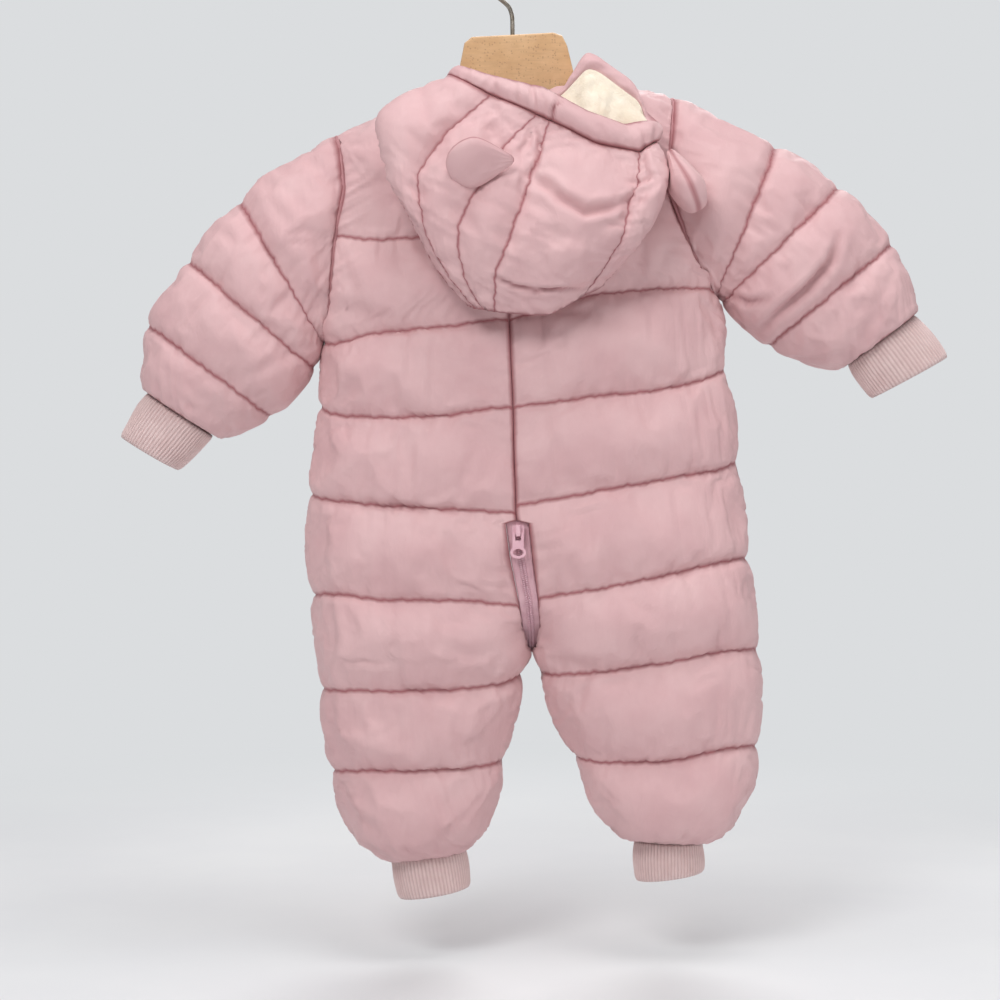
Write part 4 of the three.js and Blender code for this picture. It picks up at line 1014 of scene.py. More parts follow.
pieces = {}
for name, (outer, base, sewn) in {**PANELS, **SLEEVE_SHAPES}.items():
    closed = name.startswith("sleeve")
    outer, fold_shade = with_folds(name, outer, base, closed)
    pieces[name] = wall_object(f"padded_{name}", outer, base, np.maximum(sewn, fold_shade), closed)
hood_outer, fold_shade = with_folds("hood_shell", hood_outer, hood_grid, True)
hood_sewn = np.maximum(hood_sewn, fold_shade)
pieces["hood_shell"] = wall_object("padded_hood_shell", hood_outer, hood_grid, hood_sewn,
                                   closed=True, capped=True)
rim_outer, fold_shade = with_folds("hood_rim", rim_outer, rim_grid, True)
rim_sewn = np.maximum(rim_sewn, fold_shade)
rolled_share = np.arange(len(rim_grid))[:, None] / RIM_ROLL_ROWS
gathers = 1 + RIM_GATHER * waves(rim_grid, 47, RIM_GATHER_WAVE)
rim_roll = RIM_ROLL * gathers * np.sqrt(np.sin(np.pi * np.clip(rolled_share, 0.06, 1)))
rim_inside = rim_grid - rim_normals * rim_roll[..., None]
pieces["hood_rim"] = wall_object("padded_hood_rim", rim_outer, rim_inside, rim_sewn, True)
for name, ring in piping_rings.items():
    pieces[f"armhole_{name}"] = piping(f"padded_armhole_{name}", ring)
    shoulder = PANELS[f"back_{name}"][1][0, 1:int(PANEL_COLUMNS * NECK_SHARE)].copy()
    shoulder[:, 1] = 0
    pieces[f"shoulder_{name}"] = piping(f"padded_shoulder_{name}", shoulder, closed=False)
for name, (outer, base, valley) in cuff_shapes.items():
    pieces[name] = wall_object(f"rib_{name}", outer, base, valley, True)

# %% [markdown]
# The lining is a cream fleece inside the hood, seen where the mouth gapes. Its pile makes a soft,
# lumpy face, so the sheet gets low waves, a few soft folds that run down into the hood, and the
# material a fine nap. It is one sheet of cloth, held all round by the rim's seam.

# %% The lining
LINING_GAP = 1.0
LINING_WALL = 1.7
LINING_ROWS = 36          # rows of the shell that the lining goes down
LINING_LUMP, LINING_LUMP_LENGTH = 0.4, 11   # mm
LINING_FOLD, LINING_FOLD_LENGTH = 1.5, 30   # mm, the soft folds of the sheet
LINING_FOLD_PULL = (1, 1, 0.25)             # they run up and down
lining_path = np.concatenate([rim_grid[RIM_ROLL_ROWS:], hood_grid[1:LINING_ROWS]])
lining_normals = grid_normals(lining_path, True)
lump = LINING_LUMP * waves(lining_path, 71, LINING_LUMP_LENGTH)[..., None]
folds = waves(lining_path * LINING_FOLD_PULL, 73, LINING_FOLD_LENGTH)
lump += LINING_FOLD * np.abs(folds)[..., None]
lining_outer = lining_path - lining_normals * LINING_GAP
lining_inner = lining_path - lining_normals * (LINING_GAP + LINING_WALL + lump)
lining_inner, _ = with_folds("hood_lining", lining_inner, lining_outer, True)
pieces["hood_lining"] = wall_object("fleece_hood_lining", lining_outer, lining_inner,
                                    np.zeros(lining_path.shape[:2]), True)

# %% [markdown]
# At the front of the neck the hood ends in two small standing pieces. Each rises gently from the
# shoulder, so that its upper edge is rounded, and dips a little where the two meet.

# %% The hood's fronts
COLLAR_HEIGHT = 15
COLLAR_PUFF = 4.2
COLLAR_WALL = 1.4
COLLAR_ROWS = 14
COLLAR_AT_SHOULDER = 0.2  # of the height, at the shoulder
COLLAR_RISE = 0.4         # of the length, over which it rises
COLLAR_DIP = 0.3          # of the height, lost at the middle
COLLAR_DIP_LENGTH = 0.2
SOLID_COLUMNS = 8         # columns of a panel's solid, on one of which the neck starts
neck_column = math.ceil(NECK_SHARE * SOLID_COLUMNS) * PANEL_COLUMNS // SOLID_COLUMNS
for name in ("left", "right"):
    _, base, _ = PANELS[f"front_{name}"]
    foot = base[0, neck_column:] + [0, 0, SEAM_GAP]
    t = np.linspace(0, 1, COLLAR_ROWS)[:, None, None]
    s = np.linspace(0, 1, len(foot))[None, :, None]
    rise = COLLAR_AT_SHOULDER + (1 - COLLAR_AT_SHOULDER) * eased(s / COLLAR_RISE)
    dip = 1 - COLLAR_DIP * eased((s - (1 - COLLAR_DIP_LENGTH)) / COLLAR_DIP_LENGTH)
    inner = foot[None] + t * COLLAR_HEIGHT * rise * dip * np.array([0, 0, 1])
    full = np.sin(np.pi * t) * np.sin(np.pi * s)
    swell = COLLAR_WALL + (COLLAR_PUFF - COLLAR_WALL) * full ** 0.5
    outer = inner + swell * np.array([0, 1, 0])
    pieces[f"hood_front_{name}"] = wall_object(f"padded_hood_front_{name}", outer, inner,
                                               np.zeros(inner.shape[:2]))
print("hood fronts from column", neck_column)

# %% [markdown]
# Each ear is two leaves of cloth, filled and sewn together round the edge, and pinched where it
# joins the hood. A ball is drawn out to a leaf, then a seam is cut in round its edge and gathers
# spread from the pinched foot.

# %% Ears
EARS = {                  # foot, tip, direction of its width, width, thickness
    "ear_left": ((1, -103.6, -181), (-50, -103.2, -184), (0, -0.5, 0.866), 41, 16),
    "ear_right": ((120, -64, -166), (142, -70, -214), (0, 1, 0), 44, 27),
}
EAR_FOOT = 0.45           # of its width and thickness, what is left where it is pinched
EAR_TAPER = 1.35          # half lengths over which it widens from the foot
EAR_SEAM = 1.3            # mm that the seam cuts in
EAR_SEAM_WIDTH = 0.09
# share of the seams' painted shade along the ear's sunken edge seam
EAR_SEAM_SHADE = 0.8
EAR_FLATNESS = 0.72       # below 1 the leaf is flat in the middle and round at its edge
EAR_GATHER, EAR_GATHERS, EAR_GATHER_REACH = 1.1, 7, 0.4
EAR_WAVE, EAR_WAVE_LENGTH = 0.7, 17         # mm


def ear_shape(foot, tip, across, width, thick, seed):
    """Points, faces and seam numbers of one padded ear."""
    ball = bmesh.new()
    bmesh.ops.create_uvsphere(ball, u_segments=96, v_segments=64, radius=1)
    p = np.array([v.co[:] for v in ball.verts])
    faces = [[v.index for v in f.verts] for f in ball.faces]
    ball.free()
    p = p[:, [0, 2, 1]]                       # the poles lie at the foot and the tip
    foot, tip, across = (np.array(v, float) for v in (foot, tip, across))
    lengthwise = tip - foot
    through = unit(np.cross(lengthwise, across))
    taper = EAR_FOOT + (1 - EAR_FOOT) * eased((1 - p[:, 1]) / EAR_TAPER)
    from_edge = np.abs(p[:, 2])
    seam = np.exp(-(from_edge / EAR_SEAM_WIDTH) ** 2)
    fullness = np.sign(p[:, 2]) * from_edge ** EAR_FLATNESS
    points = (
        (foot + tip) / 2 - lengthwise * p[:, 1:2] / 2
        + across * (p[:, 0] * width / 2 * taper * (1 - 0.03 * seam))[:, None]
        + through * (fullness * thick / 2 * taper)[:, None]
    )
    turn = np.arctan2(p[:, 2], p[:, 0])
    gathers = EAR_GATHER * np.sin(turn * EAR_GATHERS + seed) ** 2
    gathers = gathers * np.exp(-(1 - p[:, 1]) / EAR_GATHER_REACH)
    wavy = EAR_WAVE * waves(points, seed, EAR_WAVE_LENGTH) * from_edge
    outward = unit(points - (foot + tip) / 2)
    points += outward * (wavy - gathers - EAR_SEAM * seam * from_edge)[:, None]
    return points, faces, seam * EAR_SEAM_SHADE


for number, (name, leaf) in enumerate(EARS.items()):
    pieces[name] = mesh_object(f"padded_{name}", *ear_shape(*leaf, 80 + number))
print("ears:", [o.name for o in pieces.values() if "ear" in o.name])

# %% [markdown]
# The zip runs from the back, under the crotch and up the front to the neck. Its tape is woven, its
# teeth are a nylon coil sewn to the tape's edges. Real loops are modelled, because they catch the
# light one by one: each is a short bent rod, repeated along the middle line.

# %% Zip
TAPE_LIFT = 0.6
TAPE_THICKNESS = 1.2
TAPE_RIB = 0.132          # mm, the rounded ribs along the tape
TAPE_SINK = 0.072         # mm that the tape lies lower for them
TAPE_COLUMNS = 15
TAPE_STEP = 2.0           # mm between two rows of points
TAPE_TUCK = 4.0           # mm of tape above the zip's top, under the panels
COIL_PITCH = 1.5
SLIDER_HEIGHT = 8.4
NECK_Z = -100             # above every zip
ZIPS = {"back": (-1, -453.6), "front": (1, -156.0)}     # face, top


def zip_place(z, face):
    """Points and outward directions of the zip's middle line at heights z."""
    z = np.asarray(z, float)
    point = np.stack([spine_at(z, 1), -face * spine_at(z, 2), z], -1)
    above, below = np.minimum(z + 3, NECK_Z), np.maximum(z - 3, CROTCH_Z)
    slope = -face * (spine_at(below, 2) - spine_at(above, 2))
    normal = np.stack([np.zeros_like(z), face * (above - below), face * slope], -1)
    normal[z <= CROTCH_Z] = [0, 0, -1]
    return point, unit(normal)


def zip_heights(top, step):
    """Heights down the zip, evenly spaced along its curve."""
    z = np.linspace(top, CROTCH_Z, 1500)
    y = spine_at(z, 2)
    travelled = np.concatenate([[0], np.cumsum(np.hypot(np.diff(z), np.diff(y)))])
    return np.interp(np.arange(0, travelled[-1], step), travelled, z)


for label, (face, top) in ZIPS.items():
    z = np.append(zip_heights(top + TAPE_TUCK, TAPE_STEP), CROTCH_Z)
    place, normal = zip_place(z, face)
    place[-1, 1] = face * SEAM_GAP / 2
    half = zip_half_width(np.minimum(z, ZIP_TOP_Z - 1), face) - SEAM_GAP
    s = np.linspace(-1, 1, TAPE_COLUMNS)
    across = (half[:, None] * s)[..., None] * np.array([1, 0, 0])
    base = place[:, None] + across + normal[:, None] * TAPE_LIFT
    rib = TAPE_RIB * np.cos(s * np.pi * 4) - TAPE_SINK
    outer = base + normal[:, None] * (TAPE_THICKNESS + rib[None, :, None])
    pieces[f"zip_tape_{label}"] = wall_object(f"zip_tape_{label}_woven", outer, base,
                                              np.zeros(base.shape[:2]))
print("tapes:", list(ZIPS))

# %% The zip's coil
LOOP = [                  # across, up: the bent rod of one coil loop
    (0.25, 0.75), (0.9, 1.25), (1.7, 1.3), (2.2, 0.85), (2.05, 0.4), (1.2, 0.28),
]
LOOP_SLANT = 0.16         # mm down the zip from one point of a loop to the next
ROD = 0.42                # radius of the coil's wire
ROD_SIDES = 6
coil_foot = TAPE_LIFT + TAPE_THICKNESS + SEAM_GAP - 0.15    # a little into the tape


def coil_loops(top, face, label):
    """Both rows of loops of one coil."""
    points, faces = [], []
    ring = np.arange(ROD_SIDES) * 2 * np.pi / ROD_SIDES
    round_x, round_y = np.cos(ring)[:, None], np.sin(ring)[:, None]
    places = zip_heights(top, COIL_PITCH)[:-1]
    line, normals = zip_place(places, face)
    downs = unit(np.gradient(line, axis=0))
    for place, normal, down in zip(line, normals, downs):
        for side in (-1, 1):
            shift = COIL_PITCH * side / 4
            centres = [place + down * (shift + LOOP_SLANT * k) + np.array([side * x, 0, 0])
                       + normal * (coil_foot + h) for k, (x, h) in enumerate(LOOP)]
            faces += rod_faces(len(centres), ROD_SIDES, len(points))
            for k, centre in enumerate(centres):
                ahead = centres[min(k + 1, len(centres) - 1)] - centres[max(k - 1, 0)]
                a = unit(np.cross(ahead, down))
                b = unit(np.cross(ahead, a))
                points += list(centre + ROD * (round_x * a + round_y * b))
    return mesh_object(f"zip_coil_{label}_teeth", points, faces)


for label, (face, top) in ZIPS.items():
    pieces[f"zip_coil_{label}"] = coil_loops(top - SLIDER_HEIGHT - 1, face, label)
print("zip pieces:", [o.name for o in pieces.values() if "zip" in o.name])

# %% [markdown]
# Thread shows as short dashes along each quilting seam. They are small but they give the seams their
# scale close up. Each dash is a flat pill with five sides that lies in the seam's groove.

# %% Stitches
STITCH_LENGTH = 2.6
STITCH_GAP = 1.3
THREAD = 0.34             # radius
THREAD_SIDES = 5
THREAD_LIFT = 0.1
STITCH_AT = np.array([0, 0.25, 0.75, 1])    # of the dash's length, where its rings are
STITCH_SIZES = (0.25, 1, 1, 0.25)           # of the thread's radius, at those rings


def stitches_along(lines, name):
    """Dashes of thread along lines of points, each with its outward directions."""
    points, faces = [], []
    turns = (np.arange(THREAD_SIDES) * 2 * np.pi / THREAD_SIDES)[:, None]
    for line, normals in lines:
        steps = np.linalg.norm(np.diff(line, axis=0), axis=1)
        travelled = np.concatenate([[0], np.cumsum(steps)])
        starts = np.arange(1, travelled[-1] - STITCH_LENGTH, STITCH_LENGTH + STITCH_GAP)
        for start in starts:
            at = start + STITCH_LENGTH * STITCH_AT
            centre = np.stack([np.interp(at, travelled, line[:, k]) for k in range(3)], 1)
            up = unit(np.stack([np.interp(at, travelled, normals[:, k]) for k in range(3)], 1))
            side = unit(np.cross(centre[-1] - centre[0], up[1]))
            faces += rod_faces(len(centre), THREAD_SIDES, len(points))
            for c, n, r in zip(centre, up, STITCH_SIZES):
                around = np.cos(turns) * side + np.sin(turns) * n * 0.8
                points += list(c + n * THREAD_LIFT + THREAD * r * around)
    made = mesh_object(name, points, faces)
    print(f"{name}: {len(faces)} faces")
    return made


def seam_lines(outer, base, seams, closed):
    """The sewn rows of a piece as lines with their normals, without its first and last row."""
    normals = unit(outer - base)
    rows = [k for k, seam in enumerate(seams) if seam and 0 < k < len(outer) - 1]
    lines = [(outer[k], normals[k]) for k in rows]
    if closed:
        lines = [tuple(np.vstack([row, row[:1]]) for row in line) for line in lines]
    return lines


hood_out = unit(hood_outer - hood_grid)
thread_lines = {
    "stitches_body": [line for name, (outer, base, _) in PANELS.items()
                      for line in seam_lines(outer, base, sewn_rows[name], False)],
    "stitches_sleeves": [line for name, (outer, base, _) in SLEEVE_SHAPES.items()
                         for line in seam_lines(outer, base, sewn_rows[name], True)],
    "stitches_hood": [(hood_outer[2:-1, k], hood_out[2:-1, k])
                      for k, seam in enumerate(hood_column_seams) if seam],
}
for name, lines in thread_lines.items():
    pieces[name] = stitches_along(lines, name)

# %% [markdown]
# The hanger's hook is one bent wire. A tube is swept along its line, and its open end is rounded.
# The wooden yoke and the metal slider and pull tabs are already the right shape in the solids, so
# they stay, with small bevels that catch the light.

# %% The hook
WIRE = 3.5
HOOK_RADIUS = 17
HOOK_STEM = [(0.5, -62.8), (0.3, -50), (-1.5, -42)]
HOOK_FROM, HOOK_TO, HOOK_TURN = 222, -28, -12.5     # degrees round the loop, and a step
HOOK_SIDES = 20
HOOK_POINTS = 140
TIP_RINGS = 5             # rings of the rounded end
TIP_TURN = 0.97           # of a quarter turn, so that the last ring keeps a size


def hook_line():
    """Middle line of the hook, from the yoke up its stem and round its loop."""
    radius = HOOK_RADIUS + WIRE / 2
    angle = np.radians(np.arange(HOOK_FROM, HOOK_TO - 1, HOOK_TURN))
    loop = np.stack([radius * np.cos(angle), radius * np.sin(angle) - HOOK_RADIUS], 1)
    line = np.vstack([HOOK_STEM, loop])
    travelled = np.concatenate([[0], np.cumsum(np.linalg.norm(np.diff(line, axis=0), axis=1))])
    fine = smooth_fill(travelled, line, np.linspace(0, travelled[-1], HOOK_POINTS))
    return np.stack([fine[:, 0], np.zeros(len(fine)), fine[:, 1]], 1)


def tube(name, line, radius, sides):
    """A closed tube along a line in the hanger's plane, with a rounded far end."""
    ahead = unit(np.gradient(line, axis=0))
    side = np.array([0.0, 1.0, 0.0])
    angle = np.arange(sides) * 2 * np.pi / sides
    end = np.arange(1, TIP_RINGS + 1) / TIP_RINGS * np.pi / 2
    radii = np.append(np.full(len(line), radius), radius * np.cos(end * TIP_TURN))
    line = np.vstack([line, line[-1] + ahead[-1] * radius * np.sin(end)[:, None]])
    ahead = np.vstack([ahead, np.repeat(ahead[-1:], TIP_RINGS, 0)])
    up = np.cross(ahead, side)
    around = np.cos(angle)[:, None] * side + np.sin(angle)[:, None] * up[:, None]
    rings = line[:, None] + radii[:, None, None] * around
    return mesh_object(name, rings.reshape(-1, 3), rod_faces(len(line), sides))


pieces["hanger_hook"] = tube("hanger_hook_wire", hook_line(), WIRE / 2, HOOK_SIDES)
print("hook:", len(pieces["hanger_hook"].data.polygons), "faces")

# %% Bevels on the solids that stay
KEPT = {"hanger_yoke": 0.8, "slider_back": 0.35, "slider_front": 0.35,
        "pull_tab_back": 0.3, "pull_tab_front": 0.3}     # mm, the width of the bevel
BEVEL_FROM = 35           # degrees between two faces from which their edge is bevelled
for name, size in KEPT.items():
    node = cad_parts[name]
    bevel = node.modifiers.new("soft_edge", "BEVEL")
    bevel.width = size * MM
    bevel.segments = 3
    bevel.limit_method = "ANGLE"
    bevel.angle_limit = math.radians(BEVEL_FROM)
    bevel.harden_normals = True
print("kept solids:", list(KEPT))

# %% [markdown]
# Four effects are shared by more than one finish, so each is built once as a node group: a weave of
# crossing threads, a soft crumple, patches of slightly different tone, and painted shade, a deeper
# colour, in the seams. A group only hands out numbers and colours; the shader itself stays in the
# material, where it can be tuned.

# %% Helpers for the nodes
def new_group(title, inputs, outputs):
    """An empty node group with named sockets, and its input and output nodes."""
    group = bpy.data.node_groups.new(title, "ShaderNodeTree")
    for name, kind, value in inputs:
        socket = group.interface.new_socket(name=name, in_out="INPUT", socket_type=kind)
        socket.default_value = value
    for name, kind in outputs:
        group.interface.new_socket(name=name, in_out="OUTPUT", socket_type=kind)
    entry = group.nodes.new("NodeGroupInput")
    leave = group.nodes.new("NodeGroupOutput")
    return group, entry, leave


def add_node(tree, kind, links=None, **settings):
    """A node with settings; links gives what feeds each of its inputs, a socket or a number."""
    made = tree.nodes.new(kind)
    for key, value in settings.items():
        setattr(made, key, value)
    for key, value in (links or {}).items():
        if isinstance(value, bpy.types.NodeSocket):
            tree.links.new(value, made.inputs[key])
        else:
            made.inputs[key].default_value = value
    return made


def maths(tree, operation, a, b=0.0):
    """One sum of two numbers or sockets."""
    return add_node(tree, "ShaderNodeMath", {0: a, 1: b}, operation=operation).outputs[0]


def object_place(tree):
    """The place on the object, in metres."""
    return add_node(tree, "ShaderNodeTexCoord").outputs["Object"]


def times_vector(tree, place, factors):
    """A place with each of its axes stretched."""
    return add_node(tree, "ShaderNodeVectorMath", {0: place, 1: factors},
                    operation="MULTIPLY").outputs[0]


def map_range(tree, value, **limits):
    """A value brought from one range to another; the socket numbers are written out below."""
    sockets = {"low": 1, "high": 2, "to_low": 3, "to_high": 4}
    links = {0: value, **{sockets[key]: limit for key, limit in limits.items()}}
    return add_node(tree, "ShaderNodeMapRange", links)


def mix_colours(tree, share, first, second):
    """The first colour with a share of the second."""
    made = add_node(tree, "ShaderNodeMix", {0: share, 6: first, 7: second}, data_type="RGBA")
    return made.outputs[2]


FLOAT, COLOUR, VECTOR = "NodeSocketFloat", "NodeSocketColor", "NodeSocketVector"
MM_A_METRE = 1000.0
print("helpers ready")

# %% Shared effects
weave, entry, leave = new_group(
    "Weave", [("Threads per mm", FLOAT, 3.0), ("Depth", FLOAT, 1.0)], [("Height", FLOAT)])
split = add_node(weave, "ShaderNodeSeparateXYZ", {0: object_place(weave)})
turn = maths(weave, "MULTIPLY", entry.outputs["Threads per mm"], MM_A_METRE * math.pi)
level = {}
for axis in "XYZ":
    wave = maths(weave, "SINE", maths(weave, "MULTIPLY", split.outputs[axis], turn))
    level[axis] = maths(weave, "ABSOLUTE", wave)
crossing = maths(weave, "MULTIPLY", level["X"], level["Z"])
thread = maths(weave, "ADD", crossing, maths(weave, "MULTIPLY", level["Y"], 0.25))
weave.links.new(maths(weave, "MULTIPLY", thread, entry.outputs["Depth"]), leave.inputs["Height"])

crumple, entry, leave = new_group(
    "Crumple", [("Size mm", FLOAT, 20.0), ("Depth", FLOAT, 1.0), ("Stretch", VECTOR, (1, 1, 1))],
    [("Height", FLOAT)])
pulled = times_vector(crumple, object_place(crumple), entry.outputs["Stretch"])
scale = maths(crumple, "DIVIDE", MM_A_METRE, entry.outputs["Size mm"])
wide = add_node(crumple, "ShaderNodeTexNoise", {
    "Vector": pulled, "Scale": scale, "Detail": 3.0, "Roughness": 0.55, "Distortion": 0.6})
ridge = maths(crumple, "ABSOLUTE", maths(crumple, "SUBTRACT", wide.outputs[0], 0.5))
creased = maths(crumple, "SUBTRACT", 1.0, maths(crumple, "MULTIPLY", ridge, 4.0))
soft = maths(crumple, "POWER", maths(crumple, "MAXIMUM", creased, 0.0), 2.0)
crumple.links.new(maths(crumple, "MULTIPLY", soft, entry.outputs["Depth"]), leave.inputs["Height"])

tone, entry, leave = new_group(
    "Tone patches",
    [("Light", COLOUR, (1, 1, 1, 1)), ("Dark", COLOUR, (0.8, 0.8, 0.8, 1)), ("Size mm", FLOAT, 60.0)],
    [("Color", COLOUR), ("Mask", FLOAT)])
scale = maths(tone, "DIVIDE", MM_A_METRE, entry.outputs["Size mm"])
noise = add_node(tone, "ShaderNodeTexNoise", {
    "Vector": object_place(tone), "Scale": scale, "Detail": 4.0, "Roughness": 0.6})
mask = map_range(tone, noise.outputs[0], low=0.35, high=0.65).outputs[0]
mixed = mix_colours(tone, mask, entry.outputs["Light"], entry.outputs["Dark"])
tone.links.new(mixed, leave.inputs["Color"])
tone.links.new(mask, leave.inputs["Mask"])

# Painted seam shade: the cloth's colour is mixed towards the darker seam colour where the seam number
# is high
seam_shade, entry, leave = new_group(
    "Seam tint",
    [("Cloth", COLOUR, (1, 1, 1, 1)), ("Seam", COLOUR, (0.5, 0.5, 0.5, 1)), ("Share", FLOAT, 1.0)],
    [("Color", COLOUR)])
sewn = add_node(seam_shade, "ShaderNodeAttribute", attribute_name="seam").outputs["Fac"]
share = maths(seam_shade, "MULTIPLY", sewn, entry.outputs["Share"])
mixed = mix_colours(seam_shade, share, entry.outputs["Cloth"], entry.outputs["Seam"])
seam_shade.links.new(mixed, leave.inputs["Color"])
print("groups:", [g.name for g in bpy.data.node_groups])

# %% [markdown]
# The shell is a smooth, tightly woven nylon. It has a broad soft sheen and a weave that only shows
# close up. The shade in its seams, where light bounces between the puffs, is painted in as a deeper
# pink, which the seam number of each point drives. Every finish starts from two tones of its colour
# in soft patches, and then adds what its own surface needs.

# %% Helpers for the finishes
def srgb(r, g, b):
    """A colour measured in 0 to 255 as linear numbers."""
    def linear(c):
        c /= 255
        return c / 12.92 if c <= 0.04045 else ((c + 0.055) / 1.055) ** 2.4
    return linear(r), linear(g), linear(b), 1


def new_material(title, roughness, **plain):
    """A material with its shader; plain gives constant sockets by name."""
    made = bpy.data.materials.new(title)
    made.use_nodes = True
    tree = made.node_tree
    shader = next(n for n in tree.nodes if n.type == "BSDF_PRINCIPLED")
    shader.inputs["Roughness"].default_value = roughness
    for key, value in plain.items():
        shader.inputs[key.replace("_", " ")].default_value = value
    return made, tree, shader


def place_group(tree, group, **values):
    """One of the shared effects, set up for a material."""
    made = tree.nodes.new("ShaderNodeGroup")
    made.node_tree = group
    for key, value in values.items():
        made.inputs[key.replace("_", " ")].default_value = value
    return made


def bump(tree, shader, heights):
    """Heights in mm, summed, as the shader's normal."""
    total = heights[0]
    for height in heights[1:]:
        total = maths(tree, "ADD", total, height)
    made = add_node(tree, "ShaderNodeBump", {"Height": total, "Distance": MM, "Strength": 1.0})
    tree.links.new(made.outputs[0], shader.inputs["Normal"])


def finish(title, roughness, light, dark, size, **plain):
    """A material in patches of two tones that are about 'size' mm wide."""
    made, tree, shader = new_material(title, roughness, **plain)
    patches = place_group(tree, tone, Light=srgb(*light), Dark=srgb(*dark), Size_mm=size)
    tree.links.new(patches.outputs["Color"], shader.inputs["Base Color"])
    return made, tree, shader, patches


def paint_seam_shade(tree, shader, patches, colour, share):
    """Paints shade into the seams: a deeper colour where the seam number is high."""
    shaded = place_group(tree, seam_shade, Seam=srgb(*colour), Share=share)
    tree.links.new(patches.outputs["Color"], shaded.inputs["Cloth"])
    tree.links.new(shaded.outputs["Color"], shader.inputs["Base Color"])


def vary_roughness(tree, shader, patches, low, high):
    """Makes the darker patches rougher than the lighter ones."""
    rough = map_range(tree, patches.outputs["Mask"], to_low=low, to_high=high)
    tree.links.new(rough.outputs[0], shader.inputs["Roughness"])


print("helpers ready")

# %% Cloth finishes
shell, tree, shader, patches = finish(
    "pink_shell_cloth", 0.52, (221, 182, 183), (214, 172, 174), 48.0, Sheen_Weight=0.25,
    Sheen_Roughness=0.45, Specular_IOR_Level=0.42, Sheen_Tint=srgb(255, 225, 226))
# painted shade in the shell's seams, a deeper pink
paint_seam_shade(tree, shader, patches, (150, 72, 79), 0.85)
vary_roughness(tree, shader, patches, 0.48, 0.6)
threads = place_group(tree, weave, Threads_per_mm=2.2, Depth=0.05)
broad = place_group(tree, crumple, Size_mm=30.0, Depth=0.2, Stretch=(1.2, 1.0, 0.7))
fine = place_group(tree, crumple, Size_mm=8.0, Depth=0.06, Stretch=(1.6, 1.0, 0.6))
bump(tree, shader, [g.outputs["Height"] for g in (threads, broad, fine)])

rib_knit, tree, shader, patches = finish(
    "rib_knit", 0.88, (236, 210, 207), (226, 197, 194), 14.0, Sheen_Weight=0.3, Sheen_Roughness=0.6)
# painted shade in the rib valleys
paint_seam_shade(tree, shader, patches, (186, 146, 144), 0.5)
loops = place_group(tree, weave, Threads_per_mm=1.1, Depth=0.22)
bump(tree, shader, [loops.outputs["Height"]])

fleece, tree, shader, patches = finish(
    "cream_fleece", 0.95, (243, 232, 214), (234, 219, 196), 12.0, Sheen_Weight=0.6,
    Sheen_Roughness=0.7, Sheen_Tint=srgb(255, 250, 240))
nap = place_group(tree, crumple, Size_mm=2.4, Depth=0.12)
lumps = place_group(tree, crumple, Size_mm=11.0, Depth=0.3)
bump(tree, shader, [nap.outputs["Height"], lumps.outputs["Height"]])

zip_tape, tree, shader, _ = finish(
    "zip_tape_weave", 0.75, (226, 184, 192), (214, 168, 178), 9.0, Sheen_Weight=0.2)
ribs = place_group(tree, weave, Threads_per_mm=0.9, Depth=0.2)
bump(tree, shader, [ribs.outputs["Height"]])

zip_nylon, *_ = finish("zip_nylon", 0.36, (232, 192, 202), (222, 178, 190), 5.0,
                       Coat_Weight=0.25, Coat_Roughness=0.3)
thread, *_ = finish("sewing_thread", 0.6, (172, 102, 108), (156, 86, 92), 5.0, Sheen_Weight=0.3)
print("cloth finishes ready")

# %% [markdown]
# The yoke is pressed cork-coloured wood board: tan, with fine dark specks and a faint grain. The pull
# and slider are painted metal, the hook is bare wire with a soft, slightly worn shine.

# %% Hard finishes
SPECKS = 520.0            # a metre
GRAIN_PULL = (60.0, 400.0, 700.0)           # the grain runs along the yoke
wood, tree, shader, patches = finish(
    "speckled_wood", 0.5, (218, 178, 132), (200, 157, 110), 26.0, Coat_Weight=0.2,
    Coat_Roughness=0.35)
place = object_place(tree)
specks = add_node(tree, "ShaderNodeTexVoronoi", {
    "Vector": place, "Scale": SPECKS, "Randomness": 1.0})
spot = map_range(tree, specks.outputs["Distance"], low=0.2, high=0.42, to_low=1.0, to_high=0.0)
pick = add_node(tree, "ShaderNodeSeparateXYZ", {0: specks.outputs["Color"]})
chosen = map_range(tree, pick.outputs[0], low=0.55, high=0.62)
dark = maths(tree, "MULTIPLY", spot.outputs[0], chosen.outputs[0])
dark = maths(tree, "MULTIPLY", dark, 0.4)
speckled = mix_colours(tree, dark, patches.outputs["Color"], srgb(128, 88, 56))
grain = add_node(tree, "ShaderNodeTexNoise", {
    "Vector": times_vector(tree, place, GRAIN_PULL), "Scale": 1.0, "Detail": 4.0})
streak = map_range(tree, grain.outputs[0], low=0.45, high=0.7, to_low=0.0, to_high=0.35)
grained = mix_colours(tree, streak.outputs[0], speckled, srgb(186, 146, 108))
tree.links.new(grained, shader.inputs["Base Color"])
sunken = maths(tree, "MULTIPLY", dark, -0.15)
raised = maths(tree, "MULTIPLY", grain.outputs[0], 0.06)
bump(tree, shader, [sunken, raised])

wire, tree, shader, patches = finish(
    "hook_wire", 0.28, (176, 168, 158), (128, 118, 106), 7.0, Metallic=1.0)
vary_roughness(tree, shader, patches, 0.2, 0.42)

pull, tree, shader, patches = finish(
    "painted_pull", 0.32, (232, 186, 196), (220, 172, 184), 6.0, Coat_Weight=0.5,
    Coat_Roughness=0.2)
vary_roughness(tree, shader, patches, 0.27, 0.4)
print("materials:", len(bpy.data.materials))
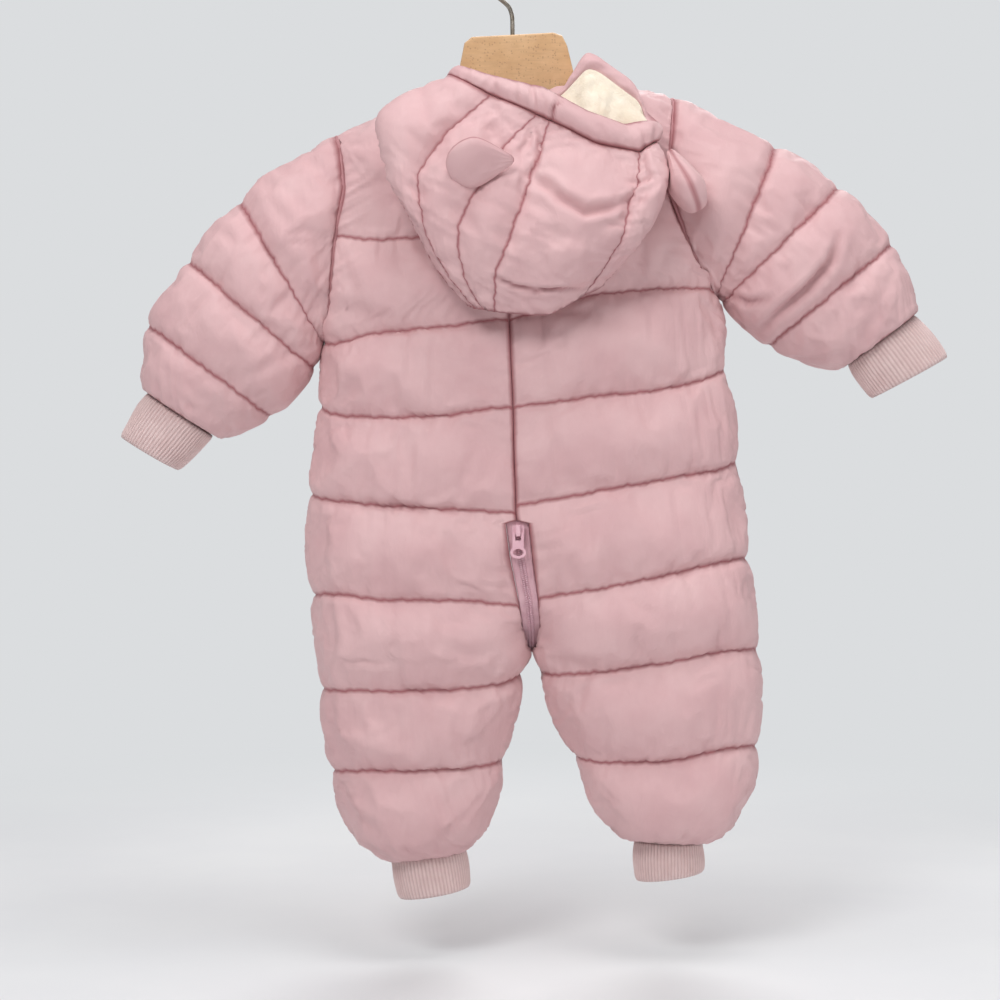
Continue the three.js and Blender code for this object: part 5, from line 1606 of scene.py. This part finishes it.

# %% [markdown]
# Now every piece gets its finish and rides on a body of the model. A solid that has a piece's name
# is hidden.

# %% Finishes and bodies of the pieces
finishes = {              # the start of an object's name: its material and its slot
    "padded": (shell, "padded_cloth"), "rib": (rib_knit, "rib_knit"), "fleece": (fleece, "fleece"),
    "zip_tape": (zip_tape, "zip_tape"), "zip_coil": (zip_nylon, "zip_coil"),
    "stitches": (thread, "padded_cloth"), "hanger_hook": (wire, "hook_wire"),
}
for key, made in pieces.items():
    kind = next(kind for kind in finishes if made.name.startswith(kind))
    material, slot = finishes[kind]
    made.data.materials.append(material)
    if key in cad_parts:
        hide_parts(key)
    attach(made, GARMENT)
for name in KEPT:
    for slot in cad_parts[name].material_slots:
        slot.material = wood if name == "hanger_yoke" else pull

# %% [markdown]
# The photo is lit softly from all round, with a little more light from above and the left, against a
# white wall. A pale floor below the suit and a pale surround give the same, and large lamps keep the
# shadows in the seams soft. The floor turns into the wall's colour with the distance from the suit,
# so that no edge shows between the two.

# %% Light and floor
FLOOR_Z = -800
FLOOR_LEFT, FLOOR_RIGHT, FLOOR_NEAR, FLOOR_FAR = -3000, 3000, -2500, 3500
WALL_COLOUR = srgb(219, 221, 223)
FLOOR_FADE = (0.45, 1.3)       # metres from the suit over which the floor turns into the wall
SURROUND = 0.36
corners = [(FLOOR_LEFT, FLOOR_NEAR, FLOOR_Z), (FLOOR_RIGHT, FLOOR_NEAR, FLOOR_Z),
           (FLOOR_RIGHT, FLOOR_FAR, FLOOR_Z), (FLOOR_LEFT, FLOOR_FAR, FLOOR_Z)]
floor = mesh_object("floor", corners, [[0, 1, 2, 3]])
pale, tree, shader, _ = finish("pale_floor", 0.7, (224, 225, 226), (220, 221, 223), 300.0)
flat_place = times_vector(tree, object_place(tree), (1.0, 1.0, 0.0))
away = add_node(tree, "ShaderNodeVectorMath", {0: flat_place}, operation="LENGTH")
fade = map_range(tree, away.outputs["Value"], low=FLOOR_FADE[0], high=FLOOR_FADE[1])
fade.interpolation_type = "SMOOTHSTEP"
far = add_node(tree, "ShaderNodeEmission", {"Color": WALL_COLOUR, "Strength": 1.0})
both = add_node(tree, "ShaderNodeMixShader", {
    0: fade.outputs[0], 1: shader.outputs[0], 2: far.outputs[0]})
tree.links.new(both.outputs[0], tree.nodes["Material Output"].inputs["Surface"])
floor.data.materials.append(pale)

world = bpy.data.worlds.new("studio")
bpy.context.scene.world = world
world.use_nodes = True
tree = world.node_tree
surround = tree.nodes["Background"]
surround.inputs["Color"].default_value = (1.0, 1.0, 1.02, 1)
surround.inputs["Strength"].default_value = SURROUND
wall = add_node(tree, "ShaderNodeBackground", {"Color": WALL_COLOUR, "Strength": 1.0})
seen = add_node(tree, "ShaderNodeLightPath").outputs["Is Camera Ray"]
either = add_node(tree, "ShaderNodeMixShader", {
    0: seen, 1: surround.outputs[0], 2: wall.outputs[0]})
tree.links.new(either.outputs[0], tree.nodes["World Output"].inputs["Surface"])
bpy.context.scene.view_settings.view_transform = "Standard"
print("floor and surround ready")

# %% The lamps
LAMPS = {                 # place and width in metres, power in watts
    "key_light": ((-0.8, -1.7, 1.0), 0.9, 22),
    "top_light": ((0.2, -0.5, 1.5), 1.1, 16),
    "fill_light": ((1.6, -1.5, -0.1), 1.4, 8),
    "front_light": ((0.3, 1.9, 0.9), 1.4, 24),
}
LAMPS_AIM = Vector((0, 0, -0.38))
for name, (place, size, power) in LAMPS.items():
    lamp = bpy.data.lights.new(name, "AREA")
    lamp.shape, lamp.size, lamp.energy = "DISK", size, power
    made = bpy.data.objects.new(name, lamp)
    made.location = place
    made.rotation_euler = (LAMPS_AIM - Vector(place)).to_track_quat("-Z", "Y").to_euler()
    bpy.context.scene.collection.objects.link(made)
print("lights:", list(LAMPS))

# %% The end
bpy.context.view_layer.update()
